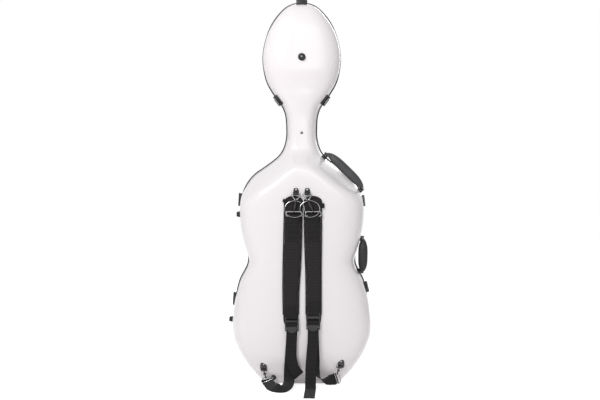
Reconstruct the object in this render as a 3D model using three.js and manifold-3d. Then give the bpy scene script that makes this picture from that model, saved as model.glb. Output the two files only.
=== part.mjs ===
// A hard shell cello case with a backpack harness.
// Millimetres, +Z up. The case stands on its flat base at z = 0. The harness is on the back,
// which faces -Y, the lid opens towards +Y on hinges at -X, and the seam plane is y = 0.
import * as THREE from "three";
import { mergeVertices } from "three/addons/utils/BufferGeometryUtils.js";
import Module from "manifold-3d";

const wasm = await Module();
wasm.setup();

// Driving dimensions of the shells
const caseHeight = 1307;
const boutWidth = 474;
const backDepth = 135;
const lidDepth = 138;
const neckDepth = 50;
const headDepth = 72;
const shellWall = 5;
const liningThick = 8;
const liningGap = 0.5;
const touchGap = 0.4;
const seamGap = 5;
const gasketThick = 4.4;
const gasketWidth = 10;
const gasketProud = 3;
const overrun = 14;

// Outline of the right half from the top of the head to the base:
// half width as a share of half the bout width, height as a share of the case height.
const outlineShares = [
  [0, 1],
  [0.19, 0.9916],
  [0.342, 0.967],
  [0.464, 0.932],
  [0.542, 0.887],
  [0.5654, 0.853],
  [0.548, 0.819],
  [0.502, 0.787],
  [0.397, 0.7536],
  [0.27, 0.7207],
  [0.228, 0.6985],
  [0.213, 0.662],
  [0.217, 0.64],
  [0.253, 0.613],
  [0.325, 0.5914],
  [0.536, 0.5608],
  [0.675, 0.5432],
  [0.76, 0.527],
  [0.823, 0.5088],
  [0.869, 0.4866],
  [0.888, 0.459],
  [0.888, 0.4285],
  [0.869, 0.3994],
  [0.835, 0.368],
  [0.793, 0.341],
  [0.776, 0.32],
  [0.788, 0.303],
  [0.838, 0.284],
  [0.894, 0.265],
  [0.935, 0.241],
  [0.956, 0.2165],
  [0.985, 0.18],
  [1, 0.149],
  [0.988, 0.122],
  [0.945, 0.098],
  [0.882, 0.0735],
  [0.79, 0.0475],
  [0.675, 0.0215],
  [0.553, 0],
];

// Fullness of a cross-section by height, 2 is an ellipse and more is squarer.
const fullnessShares = [
  [0, 4.6],
  [0.45, 4.6],
  [0.53, 3.8],
  [0.6, 2.7],
  [1, 2.7],
];

// How far the walls stand out past the seam, by height, as shares of the wall bulge. The lid
// swells at the shoulders, so that its edge shows past the seam there.
const wallBulge = 2.5;
const backBulgeShares = [
  [0, 0.8],
  [0.21, 0.8],
  [0.25, -1.6],
  [0.31, -1.4],
  [0.345, 1],
  [0.48, 1],
  [0.525, -1.6],
  [0.72, -1.4],
  [0.78, 0],
  [0.84, 0.6],
  [0.9, 0.4],
  [0.96, -1.2],
  [1, -1.2],
];
const lidBulgeShares = [
  [0, 0.8],
  [0.21, 0.8],
  [0.25, -1.6],
  [0.31, -1.4],
  [0.345, 1],
  [0.48, 1],
  [0.535, 2.4],
  [0.6, 2.4],
  [0.645, 0],
  [0.72, -0.5],
  [0.84, 0.6],
  [0.9, 0.4],
  [0.96, -0.6],
  [1, -0.6],
];
const bulgeRise = 14;

// Depth of neck and head by height, from neck depth at 0 to head depth at 1.
const headShares = [
  [0.69, 0],
  [0.76, 0.45],
  [0.82, 1],
  [1, 1],
];
const headDome = 95;

// The body's depth draws in towards the base, as a share of its full depth.
const baseShares = [
  [0, 0.78],
  [0.01, 0.87],
  [0.03, 0.94],
  [0.08, 1],
  [1, 1],
];

// The ridge where the flat back of the body breaks off to the shoulders
const ridgePeakShare = 0.5631;
const ridgePeak = ridgePeakShare * caseHeight;
const ridgeHalfFlat = 26;
const ridgeFallShare = 0.75;
const bevelRun = 55;
const ridgeSoft = 14;

// Which way a shell faces along Y
const back = -1;
const front = 1;

// Resolution
const stationCount = 34;
const columnCount = 14;
const fineCount = 2400;
const barSides = 12;
const thinSides = 10;
const wireSides = 6;
const hookSides = 5;
const gripSides = 8;
const cradleSides = 72;
const cornerSteps = 2;
const roundPower = 2;

// Value of a table of [position, value] pairs, eased between its entries
function readTable(table, at) {
  if (at <= table[0][0]) {
    return table[0][1];
  }
  for (let k = 1; k < table.length; k += 1) {
    const [x0, y0] = table[k - 1];
    const [x1, y1] = table[k];
    if (at <= x1) {
      const t = (at - x0) / (x1 - x0);
      return y0 + (y1 - y0) * t * t * (3 - 2 * t);
    }
  }
  return table[table.length - 1][1];
}

// Larger or smaller of two lengths with a soft corner between them
function softMax(a, b, soft) {
  return (a + b + Math.hypot(a - b, soft)) / 2;
}

function softMin(a, b, soft) {
  return (a + b - Math.hypot(a - b, soft)) / 2;
}

// The seam outline, its stations and its outward normals
const outlineCurve = new THREE.CatmullRomCurve3(
  [
    new THREE.Vector3(-outlineShares[1][0], outlineShares[1][1], 0),
    ...outlineShares.map(([w, h]) => new THREE.Vector3(w, h, 0)),
  ].map((p) => new THREE.Vector3((p.x * boutWidth) / 2, p.y * caseHeight, 0)),
  false,
  "centripetal",
);

function sampleOutline(count) {
  const half = outlineCurve.getSpacedPoints(fineCount).filter((p) => p.x >= 0);
  half[0].set(0, caseHeight, 0);
  const points = [];
  for (let k = 0; k <= count; k += 1) {
    const p = half[Math.round(((half.length - 1) * k) / count)];
    points.push({ x: p.x, z: p.y });
  }
  return points;
}

function withNormals(points) {
  return points.map((p, k) => {
    const before = k === 0 ? { x: -points[1].x, z: points[1].z } : points[k - 1];
    const after = points[Math.min(k + 1, points.length - 1)];
    const run = Math.hypot(after.x - before.x, after.z - before.z);
    return {
      x: p.x,
      z: p.z,
      nx: -(after.z - before.z) / run,
      nz: (after.x - before.x) / run,
    };
  });
}

const stations = withNormals(sampleOutline(stationCount));
const fine = withNormals(sampleOutline(fineCount / 2));

// Point and normal of the seam at a height
function seamAt(z) {
  let best = fine[0];
  for (const p of fine) {
    if (Math.abs(p.z - z) < Math.abs(best.z - z)) {
      best = p;
    }
  }
  return best;
}

// Depth of a shell past its rim, on the plateau, the shoulders, the neck and the head
function capDepth(x, z, body) {
  const rise = z / caseHeight;
  const neck = neckDepth + (headDepth - neckDepth) * readTable(headShares, rise);
  const past = softMax(Math.abs(x) - ridgeHalfFlat, 0, ridgeSoft);
  const ridge = ridgePeak - ridgeFallShare * past;
  const lean = Math.abs(x) > ridgeHalfFlat ? Math.hypot(1, ridgeFallShare) : 1;
  const fall = ((body - neckDepth) * (z - ridge)) / (bevelRun * lean);
  const full = body * readTable(baseShares, rise);
  return softMin(full, softMax(neck, body - fall, ridgeSoft), ridgeSoft);
}

// One point of a shell surface. inset is the distance inside the outer skin.
function skinPoint(station, turn, body, inset, floor, facing) {
  let z = station.z - inset * station.nz;
  let half = station.x - inset * station.nx;
  if (station === stations[stations.length - 1]) {
    half += ((floor - z) * -station.nz) / station.nx;
    z = floor;
  }
  half = station === stations[0] ? 0 : half;
  const rise = Math.min(Math.max(station.z / caseHeight, 0), 1);
  const power = readTable(fullnessShares, rise);
  const c = Math.abs(Math.cos(turn));
  const s = Math.abs(Math.sin(turn));
  const reach = (c ** power + s ** power) ** (1 / power);
  const down = Math.min((caseHeight - station.z) / headDome, 1);
  const dome = Math.sqrt(1 - (1 - down) ** 2);
  const across = turn === 0 || turn === Math.PI ? 1 : c / reach;
  const share = turn === 0 || turn === Math.PI ? 0 : s / reach;
  const side = Math.sign(Math.cos(turn)) * across;
  const depth = share * (capDepth(side * half, station.z, body) - inset) * dome;
  const swell = readTable(facing === back ? backBulgeShares : lidBulgeShares, rise);
  const bulge = wallBulge * swell * Math.min(depth / bulgeRise, 1);
  const wide = half === 0 ? 0 : half + bulge * station.nx;
  const lift = bulge * Math.max(station.nz, 0);
  return new THREE.Vector3(side * wide, facing * (seamGap / 2 + depth), z + lift);
}

// A closed geometry from triangles, with its faces turned out
function closedGeometry(triangles) {
  const kept = triangles.filter(
    ([a, b, c]) => !a.equals(b) && !b.equals(c) && !c.equals(a),
  );
  let volume = 0;
  for (const [a, b, c] of kept) {
    volume += a.dot(new THREE.Vector3().crossVectors(b, c));
  }
  const positions = [];
  for (const [a, b, c] of kept) {
    const face = volume > 0 ? [a, b, c] : [a, c, b];
    for (const p of face) {
      positions.push(p.x, p.y, p.z);
    }
  }
  const geometry = new THREE.BufferGeometry();
  geometry.setAttribute("position", new THREE.Float32BufferAttribute(positions, 3));
  return mergeVertices(geometry);
}

// Two triangles of a four-sided face
function quad(a, b, c, d) {
  return [
    [a, b, c],
    [a, c, d],
  ];
}

// Rows of surface points of one shell side, mirrored to the back or the front
function skinRows(body, inset, floor, facing) {
  return stations.map((station) => {
    const row = [];
    for (let j = 0; j <= columnCount; j += 1) {
      const turn = j === columnCount ? Math.PI : (Math.PI * j) / columnCount;
      row.push(skinPoint(station, turn, body, inset, floor, facing));
    }
    return row;
  });
}

// Triangles of a surface given as rows of points
function rowFaces(rows, turned) {
  const faces = [];
  for (let i = 1; i < rows.length; i += 1) {
    for (let j = 1; j < rows[i].length; j += 1) {
      faces.push(...quad(rows[i - 1][j - 1], rows[i][j - 1], rows[i][j], rows[i - 1][j]));
    }
  }
  return turned ? faces.map(([a, b, c]) => [a, c, b]) : faces;
}

// The straight edge of the base in the rim plane, under the last row
function baseEdge(rows) {
  const corner = rows[rows.length - 1][0];
  return rows[0].map((_, j) => {
    const share = Math.cos((Math.PI * j) / columnCount);
    return new THREE.Vector3(corner.x * share, corner.y, corner.z);
  });
}

// A hollow shell between an outer and an inner surface, open at the rim
function cupGeometry(body, inset, wall, facing) {
  const outer = skinRows(body, inset, inset, facing);
  const inner = skinRows(body, inset + wall, inset + wall, facing);
  const loops = [outer, inner].map((rows) => {
    const right = rows.map((row) => row[0]);
    const left = rows.map((row) => row[columnCount]).reverse();
    return [...right, ...baseEdge(rows).slice(1), ...left.slice(1)];
  });
  const faces = [...rowFaces(outer, false), ...rowFaces(inner, true)];
  faces.push(...rowFaces([outer[outer.length - 1], baseEdge(outer)], false));
  faces.push(...rowFaces([inner[inner.length - 1], baseEdge(inner)], true));
  for (let k = 1; k < loops[0].length; k += 1) {
    faces.push(...quad(loops[0][k - 1], loops[1][k - 1], loops[1][k], loops[0][k]));
  }
  return closedGeometry(faces);
}

// The full solid inside a shell surface, closed over the rim
function plugGeometry(body, inset, facing) {
  const rows = skinRows(body, inset, inset, facing);
  const edge = baseEdge(rows);
  const faces = rowFaces(rows, false);
  faces.push(...rowFaces([rows[rows.length - 1], edge], false));
  for (let i = 1; i < rows.length - 1; i += 1) {
    const above = rows[i - 1];
    const here = rows[i];
    faces.push(...quad(above[columnCount], here[columnCount], here[0], above[0]));
  }
  const above = rows[rows.length - 2];
  for (let j = 1; j <= columnCount; j += 1) {
    const a = j <= columnCount / 2 ? above[0] : above[columnCount];
    faces.push([a, edge[j], edge[j - 1]]);
  }
  faces.push([above[0], above[columnCount], edge[columnCount / 2]]);
  return closedGeometry(faces);
}

// Solids for booleans
function solidOf(geometry) {
  const bare = geometry.clone();
  bare.deleteAttribute("normal");
  bare.deleteAttribute("uv");
  const merged = mergeVertices(bare);
  return new wasm.Manifold(
    new wasm.Mesh({
      numProp: 3,
      vertProperties: new Float32Array(merged.attributes.position.array),
      triVerts: new Uint32Array(merged.index.array),
    }),
  );
}

function geometryOf(solid) {
  const mesh = solid.getMesh();
  const geometry = new THREE.BufferGeometry();
  geometry.setAttribute("position", new THREE.BufferAttribute(mesh.vertProperties, 3));
  geometry.setIndex(new THREE.BufferAttribute(mesh.triVerts, 1));
  return geometry;
}

// A box between two corners
function block(x0, x1, y0, y1, z0, z1) {
  const geometry = new THREE.BoxGeometry(x1 - x0, y1 - y0, z1 - z0);
  geometry.translate((x0 + x1) / 2, (y0 + y1) / 2, (z0 + z1) / 2);
  return solidOf(geometry);
}

// A round bar or cone from one point to another
function bar(from, to, radius, endRadius = radius, sides = barSides) {
  const along = new THREE.Vector3().subVectors(to, from);
  const geometry = new THREE.CylinderGeometry(endRadius, radius, along.length(), sides);
  const turn = new THREE.Quaternion().setFromUnitVectors(
    new THREE.Vector3(0, 1, 0),
    along.clone().normalize(),
  );
  geometry.applyQuaternion(turn);
  const middle = from.clone().lerp(to, 1 / 2);
  geometry.translate(middle.x, middle.y, middle.z);
  return solidOf(geometry);
}

function at(x, y, z) {
  return new THREE.Vector3(x, y, z);
}

// Materials
function finish(color, roughness, metalness) {
  return new THREE.MeshStandardMaterial({ color, roughness, metalness });
}

const pearl = finish(0xece8ec, 0.25, 0.1);
const blackRubber = finish(0x161616, 0.7, 0);
const blackMetal = finish(0x1c1c1e, 0.4, 0.7);
const greyMetal = finish(0x77787c, 0.3, 0.9);
const chrome = finish(0xb9babd, 0.15, 1);
const blackPlastic = finish(0x141415, 0.45, 0);
const greyLeather = finish(0x4b4a4b, 0.6, 0);
const blackLeather = finish(0x1f1d1e, 0.55, 0);
const webbing = finish(0x232021, 0.85, 0);
const plush = finish(0x2a2a30, 0.95, 0);

const part = new THREE.Group();

function addMesh(parent, name, geometry, material) {
  const mesh = new THREE.Mesh(geometry, material);
  mesh.name = name;
  parent.add(mesh);
  return mesh;
}

function addSolid(parent, name, solid, material) {
  return addMesh(parent, name, geometryOf(solid), material);
}

// Shells and linings
addMesh(part, "back_shell", cupGeometry(backDepth, 0, shellWall, back), pearl);
addMesh(part, "front_lid", cupGeometry(lidDepth, 0, shellWall, front), pearl);
const liningInset = shellWall + liningGap;
addMesh(part, "back_lining", cupGeometry(backDepth, liningInset, liningThick, back), plush);
addMesh(part, "lid_lining", cupGeometry(lidDepth, liningInset, liningThick, front), plush);

// What hardware outside is trimmed to, and what blocks inside are trimmed to
const backBody = solidOf(plugGeometry(backDepth, -touchGap, back));
const lidBody = solidOf(plugGeometry(lidDepth, -touchGap, front));
const roomInset = liningInset + liningThick + touchGap;
const backRoom = solidOf(plugGeometry(backDepth, roomInset, back));
const lidRoom = solidOf(plugGeometry(lidDepth, roomInset, front));

// The gasket, a flat ring along the seam
function gasketGeometry() {
  const loop = (grow, floor) => {
    const right = stations.map((p, k) => {
      const last = k === stations.length - 1;
      const z = p.z + grow * p.nz;
      const x = k === 0 ? 0 : p.x + grow * p.nx;
      const slid = last ? x + ((floor - z) * -p.nz) / p.nx : x;
      return new THREE.Vector3(slid, 0, last ? floor : z);
    });
    const left = right.slice(1).map((p) => new THREE.Vector3(-p.x, 0, p.z));
    return [...right, ...left.reverse()];
  };
  const outer = loop(gasketProud, touchGap);
  const inner = loop(gasketProud - gasketWidth, gasketWidth);
  const lift = (points, y) => points.map((p) => new THREE.Vector3(p.x, y, p.z));
  const rings = [
    lift(outer, -gasketThick / 2),
    lift(outer, gasketThick / 2),
    lift(inner, gasketThick / 2),
    lift(inner, -gasketThick / 2),
  ];
  const faces = [];
  for (let r = 0; r < rings.length; r += 1) {
    const a = rings[r];
    const b = rings[(r + 1) % rings.length];
    for (let k = 0; k < a.length; k += 1) {
      const next = (k + 1) % a.length;
      faces.push(...quad(a[k], a[next], b[next], b[k]));
    }
  }
  return closedGeometry(faces);
}
addMesh(part, "seam_gasket", gasketGeometry(), blackRubber);

// Tubes, rings and ribbons

// A closed body from rings of points, joined end to end or capped with fans
function ringsGeometry(rings, looped) {
  const faces = [];
  const spans = looped ? rings.length : rings.length - 1;
  for (let r = 0; r < spans; r += 1) {
    const a = rings[r];
    const b = rings[(r + 1) % rings.length];
    for (let k = 0; k < a.length; k += 1) {
      const next = (k + 1) % a.length;
      faces.push(...quad(a[k], a[next], b[next], b[k]));
    }
  }
  if (!looped) {
    const first = rings[0];
    const last = rings[rings.length - 1];
    for (let k = 2; k < first.length; k += 1) {
      faces.push([first[0], first[k], first[k - 1]]);
      faces.push([last[0], last[k - 1], last[k]]);
    }
  }
  return closedGeometry(faces);
}

// A ring of points in the plane of two directions
function sectionRing(center, u, v, halfU, halfV, power, sides) {
  const ring = [];
  for (let k = 0; k < sides; k += 1) {
    const turn = (2 * Math.PI * (k + 1 / 2)) / sides;
    const c = Math.cos(turn);
    const s = Math.sin(turn);
    const reach = (Math.abs(c) ** power + Math.abs(s) ** power) ** (1 / power);
    ring.push(
      center
        .clone()
        .addScaledVector(u, (halfU * c) / reach)
        .addScaledVector(v, (halfV * s) / reach),
    );
  }
  return ring;
}

// A closed ring of round wire through corner points in one plane
function wireLoop(points, across, radius, sides = wireSides) {
  const rings = points.map((p, k) => {
    const before = points[(k + points.length - 1) % points.length];
    const after = points[(k + 1) % points.length];
    const along = new THREE.Vector3().subVectors(after, before).normalize();
    const out = new THREE.Vector3().crossVectors(along, across);
    return sectionRing(p, out, across, radius, radius, roundPower, sides);
  });
  return ringsGeometry(rings, true);
}

// Points of a rounded rectangle in the plane of two directions
function roundedLoop(center, u, v, halfU, halfV, corner) {
  const points = [];
  for (let quarter = 0; quarter < 4; quarter += 1) {
    for (let k = 0; k <= cornerSteps; k += 1) {
      const turn = ((quarter + k / cornerSteps) * Math.PI) / 2;
      const signU = quarter === 0 || quarter === 3 ? 1 : -1;
      const signV = quarter < 2 ? 1 : -1;
      points.push(
        center
          .clone()
          .addScaledVector(u, signU * (halfU - corner) + corner * Math.cos(turn))
          .addScaledVector(v, signV * (halfV - corner) + corner * Math.sin(turn)),
      );
    }
  }
  return points.filter((p, k) => p.distanceTo(points.at(k - 1)) > touchGap);
}

// A flat ribbon along a route of [point, width direction] pairs, which rests on the floor
// where the route is low
function ribbonGeometry(route, width, thick, steps) {
  const line = new THREE.CatmullRomCurve3(
    route.map(([p]) => p),
    false,
    "centripetal",
  );
  const rings = [];
  for (let k = 0; k <= steps; k += 1) {
    const t = k / steps;
    const along = line.getTangent(t);
    const place = t * (route.length - 1);
    const low = Math.min(Math.floor(place), route.length - 2);
    const flat = route[low][1].clone().lerp(route[low + 1][1], place - low);
    flat.addScaledVector(along, -flat.dot(along)).normalize();
    const up = new THREE.Vector3().crossVectors(along, flat);
    const p = line.getPoint(t);
    const reach = (Math.abs(flat.z) * width + Math.abs(up.z) * thick) / 2;
    p.z = Math.max(p.z, reach);
    const corner = (a, b) =>
      p
        .clone()
        .addScaledVector(flat, (a * width) / 2)
        .addScaledVector(up, (b * thick) / 2);
    rings.push([corner(1, 1), corner(-1, 1), corner(-1, -1), corner(1, -1)]);
  }
  return ringsGeometry(rings, false);
}

const ahead = new THREE.Vector3(0, 1, 0);
const right = new THREE.Vector3(1, 0, 0);
const upward = new THREE.Vector3(0, 0, 1);

// A group on the wall: x along the seam, y towards the lid, z outwards
function wallGroup(x, z, normal, y = 0) {
  const group = new THREE.Group();
  const along = new THREE.Vector3().crossVectors(ahead, normal);
  const basis = new THREE.Matrix4().makeBasis(along, ahead, normal);
  group.applyMatrix4(basis.setPosition(x, y, z));
  part.add(group);
  group.updateMatrixWorld(true);
  return group;
}

function wallGroupAt(z, side) {
  const p = seamAt(z);
  return wallGroup(side * p.x, p.z, new THREE.Vector3(side * p.nx, 0, p.nz).normalize());
}

// A solid in a group's frame, with a body in the part's frame cut away
function trimmed(solid, group, body) {
  return solid.subtract(body.transform(group.matrixWorld.clone().invert().elements));
}

// Feet
const sideFootShares = { upper: 0.4361, lower: 0.1591 };
const sideFootDepth = 38;
const sideFootRadius = 10.5;
const sideFootEndRadius = 8;
const sideFootReach = 14;
for (const [name, share] of Object.entries(sideFootShares)) {
  const group = wallGroupAt(share * caseHeight, -1);
  const foot = bar(
    at(0, -sideFootDepth, -overrun),
    at(0, -sideFootDepth, sideFootReach),
    sideFootRadius,
    sideFootEndRadius,
  );
  addSolid(group, `side_foot_${name}`, trimmed(foot, group, backBody), blackRubber);
}

// Depth of the back's skin, as a y, at a place on it
function backSkin(x, z) {
  const p = seamAt(z);
  const power = readTable(fullnessShares, z / caseHeight);
  const share = (1 - Math.min(Math.abs(x) / p.x, 1) ** power) ** (1 / power);
  return -(seamGap / 2 + share * capDepth(x, z, backDepth));
}

// A round piece standing on the back, facing -Y
function backStud(name, x, z, { radius, endRadius, reach }, material) {
  const skin = backSkin(x, z);
  const stud = bar(at(x, skin + overrun, z), at(x, skin - reach, z), radius, endRadius);
  addSolid(part, name, stud.subtract(backBody), material);
}

const headFootShare = 0.8477;
const headFoot = { radius: 13, endRadius: 10.5, reach: 11 };
backStud("head_foot", 0, headFootShare * caseHeight, headFoot, blackRubber);
const lowFootSide = 95;
const lowFootHeight = 24;
const lowFoot = { radius: 9.5, endRadius: 7.5, reach: 9 };
backStud("back_foot_left", -lowFootSide, lowFootHeight, lowFoot, blackRubber);
backStud("back_foot_right", lowFootSide, lowFootHeight, lowFoot, blackRubber);
const neckScrewShare = 0.6503;
const neckScrew = { radius: 5, endRadius: 3.6, reach: 2.4 };
backStud("neck_rest_screw", 0, neckScrewShare * caseHeight, neckScrew, greyMetal);

// Hinges on the left, on one axis that follows the two bouts
const hingeShares = { upper: 0.4751, lower: 0.2104 };
const hingeStandoff = 9;
const hingeHalf = 22;
const knuckleRadius = 3.6;
const hingePin = 1.6;
const hingePlay = 0.4;
const knuckleHalf = 7.4;
const leafSeam = 4;
const leafReach = 26;
const leafTop = 2.5;
const webDepth = 6;
const webInner = 3;
const webOuter = 1.5;

function hingePoint(share) {
  const z = share * caseHeight;
  return new THREE.Vector3(-(seamAt(z).x + hingeStandoff), 0, z);
}
const hingeLine = new THREE.Vector3()
  .subVectors(hingePoint(hingeShares.upper), hingePoint(hingeShares.lower))
  .normalize();

for (const [name, share] of Object.entries(hingeShares)) {
  const group = new THREE.Group();
  const inward = new THREE.Vector3().crossVectors(ahead, hingeLine);
  const basis = new THREE.Matrix4().makeBasis(inward, ahead, hingeLine);
  group.applyMatrix4(basis.setPosition(hingePoint(share)));
  part.add(group);
  group.updateMatrixWorld(true);
  const low = knuckleHalf + hingePlay;
  const wedge = (y0, y1) => block(leafTop, leafTop + 2 * overrun, y0, y1, -hingeHalf, hingeHalf);
  const web = (y0, y1, z0, z1) => block(-webOuter, webInner, y0, y1, z0, z1);
  const knuckle = (z0, z1, radius) => bar(at(0, 0, z0), at(0, 0, z1), radius);
  const leafBack = trimmed(wedge(-leafReach, -leafSeam), group, backBody)
    .add(web(-webDepth, 0, low, hingeHalf))
    .add(web(-webDepth, 0, -hingeHalf, -low))
    .add(knuckle(low, hingeHalf, knuckleRadius))
    .add(knuckle(-hingeHalf, -low, knuckleRadius))
    .add(knuckle(-hingeHalf, hingeHalf, hingePin));
  const leafLid = trimmed(wedge(leafSeam, leafReach), group, lidBody)
    .add(web(0, webDepth, -knuckleHalf, knuckleHalf))
    .add(knuckle(-knuckleHalf, knuckleHalf, knuckleRadius))
    .subtract(knuckle(-hingeHalf, hingeHalf, hingePin + hingePlay));
  addSolid(group, `hinge_leaf_back_${name}`, leafBack, blackMetal);
  addSolid(group, `hinge_leaf_lid_${name}`, leafLid, blackMetal);
}

// Draw latches over the seam
const latchHalf = 19;
const earWidth = 5;
const latchPlay = 0.5;
const latchPinBack = 24;
const latchPinUp = 7.2;
const latchPin = 1.8;
const latchBarrel = 3.4;
const latchBaseTop = 3.2;
const latchBaseBack = 32;
const latchBaseFront = 7;
const earReach = 5;
const earTop = 10;
const leverUnder = 4.9;
const leverTop = 8;
const leverReach = 18;
const tabReach = 3;
const tabRise = 2.5;
const keeperNear = 6.5;
const keeperFar = 15;
const keeperTop = 4.1;
const latchShares = {
  head_top: [1, 1],
  head_left: [0.7391, -1],
  head_right: [0.7391, 1],
  upper: [0.4713, 1],
  lower: [0.2433, 1],
};

for (const [name, [share, side]] of Object.entries(latchShares)) {
  const group = wallGroupAt(share * caseHeight, side);
  const leverHalf = latchHalf - earWidth - latchPlay;
  const pinFrom = (half) => [
    at(-half, -latchPinBack, latchPinUp),
    at(half, -latchPinBack, latchPinUp),
  ];
  const ear = (x) =>
    block(x, x + earWidth, -latchPinBack - earReach, -latchPinBack + earReach, -overrun, earTop);
  const plate = block(-latchHalf, latchHalf, -latchBaseBack, -latchBaseFront, -overrun, latchBaseTop);
  const base = trimmed(
    plate.add(ear(-latchHalf)).add(ear(latchHalf - earWidth)).add(bar(...pinFrom(latchHalf), latchPin)),
    group,
    backBody,
  );
  const leaf = block(-leverHalf, leverHalf, -latchPinBack, leverReach, leverUnder, leverTop);
  const tabTop = leverTop + tabRise;
  const tab = block(-leverHalf, leverHalf, leverReach - tabReach, leverReach, leverTop, tabTop);
  const lever = leaf
    .add(tab)
    .add(bar(...pinFrom(leverHalf), latchBarrel))
    .subtract(bar(...pinFrom(latchHalf), latchPin + latchPlay));
  const keeper = trimmed(
    block(-leverHalf, leverHalf, keeperNear, keeperFar, -overrun, keeperTop),
    group,
    lidBody,
  );
  addSolid(group, `latch_base_${name}`, base, blackMetal);
  addSolid(group, `latch_lever_${name}`, lever, greyMetal);
  addSolid(group, `latch_keeper_${name}`, keeper, greyMetal);
}

// Carrying handles, each an arched grip that swings on two anchors
const handleDepth = 28;
const gripReach = 52;
const archShare = 0.55;
const gripThick = 16;
const gripFlat = 10.5;
const gripThin = 4;
const knobHalf = 5;
const knobRadius = 4.6;
const handlePin = 2;
const handlePlay = 0.5;
const anchorEar = 3;
const anchorEarReach = 5.5;
const anchorPlateReach = 9;
const anchorPlateTop = 5.3;
const anchorRoot = 42;
const gripSteps = 14;
const handles = {
  shoulder: { highShare: 0.5891, lowShare: 0.4989, lift: 9, lean: 6, material: greyLeather },
  waist: { highShare: 0.3718, lowShare: 0.2862, lift: 12, lean: -2, material: blackLeather },
};

for (const [name, handle] of Object.entries(handles)) {
  const { highShare, lowShare, lift, lean, material } = handle;
  const top = seamAt(highShare * caseHeight);
  const bottom = seamAt(lowShare * caseHeight);
  const span = Math.hypot(bottom.x - top.x, bottom.z - top.z);
  const normal = new THREE.Vector3(top.z - bottom.z, 0, bottom.x - top.x).normalize();
  const group = wallGroup(
    (top.x + bottom.x) / 2 + lift * normal.x,
    (top.z + bottom.z) / 2 + lift * normal.z,
    normal,
    -handleDepth,
  );
  const half = span / 2;
  const tilt = (lean * Math.PI) / 180;
  const away = new THREE.Vector3(0, -Math.cos(tilt), Math.sin(tilt));
  const across = new THREE.Vector3(0, Math.sin(tilt), Math.cos(tilt));
  const route = [];
  for (let k = 0; k <= gripSteps; k += 1) {
    const turn = (Math.PI * k) / gripSteps;
    const x = half * Math.sign(Math.cos(turn)) * Math.abs(Math.cos(turn)) ** archShare;
    const rise = k === gripSteps ? 0 : Math.sin(turn) ** archShare;
    route.push(at(x, 0, 0).addScaledVector(away, gripReach * rise));
  }
  const rings = route.map((p, k) => {
    const before = route[Math.max(k - 1, 0)];
    const after = route[Math.min(k + 1, gripSteps)];
    const edge = k === 0 || k === gripSteps;
    const along = edge ? away.clone() : new THREE.Vector3().subVectors(after, before);
    along.normalize().multiplyScalar(k === 0 ? 1 : k === gripSteps ? -1 : 1);
    const out = new THREE.Vector3().crossVectors(along, across);
    const fat = Math.sin((Math.PI * k) / gripSteps) ** 2;
    const wide = gripThin + (gripThick - gripThin) * fat;
    const flat = gripThin + (gripFlat - gripThin) * fat;
    return sectionRing(p, out, across, flat, wide, roundPower, gripSides);
  });
  const pinAt = (x, reach) => [at(x - reach, 0, 0), at(x + reach, 0, 0)];
  let grip = solidOf(ringsGeometry(rings, false));
  for (const x of [-half, half]) {
    grip = grip
      .add(bar(...pinAt(x, knobHalf), knobRadius))
      .subtract(bar(...pinAt(x, 2 * knobHalf), handlePin + handlePlay));
  }
  addSolid(group, `${name}_handle`, grip, material);
  for (const [end, x] of [["upper", -half], ["lower", half]]) {
    const reach = knobHalf + handlePlay;
    const ear = (x0) =>
      block(
        x0,
        x0 + anchorEar,
        -anchorEarReach,
        anchorEarReach,
        -anchorRoot,
        anchorEarReach,
      );
    const plate = block(
      x - reach - anchorEar,
      x + reach + anchorEar,
      -anchorPlateReach,
      anchorPlateReach,
      -anchorRoot,
      -anchorPlateTop,
    );
    const anchor = plate
      .add(ear(x + reach))
      .add(ear(x - reach - anchorEar))
      .add(bar(...pinAt(x, reach + anchorEar), handlePin));
    addSolid(group, `${name}_handle_anchor_${end}`, trimmed(anchor, group, backBody), blackMetal);
  }
}

// The harness on the back: bracket, ring, hook and wide ring above, then a padded strap,
// a slide buckle and webbing that runs to a ring, a hook and a bracket near the base
const plateau = -(seamGap / 2 + backDepth);
const ringStand = 13.5;
const ringPlane = plateau - ringStand;
const wire = 1.7;
const hookWire = 1.6;
const hookHalfLength = 7;
const hookHalfWidth = 5;
const hookShank = 4;
const hangGap = 0.4;
const bracketTopShare = 0.5042;
const bracketTop = bracketTopShare * caseHeight;
const bracketDrop = 19;
const bracketHigh = bracketTop - bracketDrop;
const bracketHalf = 10.3;
const bracketThick = 3.4;
const tunnelRadius = 3.8;
const tunnelHalf = 9;
const tunnelPlay = 0.5;
const rivetDrop = 6;
const rivetHeight = bracketTop - rivetDrop;
const rivetRadius = 4;
const rivetReach = 3;
const apexDrop = 19.6;
const apexHeight = bracketHigh - apexDrop;
const ringHalf = 13.5;
const ringRise = 4;
const ringFlare = 1.5;
const hookDrop = 40.4;
const wideRingTop = apexHeight - hookDrop;
const wideRingRise = 14;
const wideRingBottom = wideRingTop - wideRingRise;
const wideRingHalf = 26;
const wideCorner = 4;
const wideWire = 1.8;
const sleeveHalf = 19;
const sleeveRise = 5;
const padClear = 4.2;
const padTop = bracketHigh - tunnelRadius - padClear;
const padBottomShare = 0.1752;
const padBottom = padBottomShare * caseHeight;
const padHalf = 30;
const padThin = 5;
const padThick = 10;
const padThinReach = 16;
const padGap = 0.6;
const padSink = 1;
const padRoundShare = 0.035;
const padTipShare = 0.12;
const padPower = 4;
const padSteps = 14;
const boreHalf = 110;
const sleeveWall = 2.4;
const buckleHalf = 23;
const buckleBar = 1.8;
const buckleSide = 3.5;
const buckleEdge = 1;
const buckleStand = 8.6;
const bucklePlane = plateau - buckleStand;
const buckleRises = { high: 38, middle: 21, low: 0 };
const webWidth = 36;
const webThick = 1.8;

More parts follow.
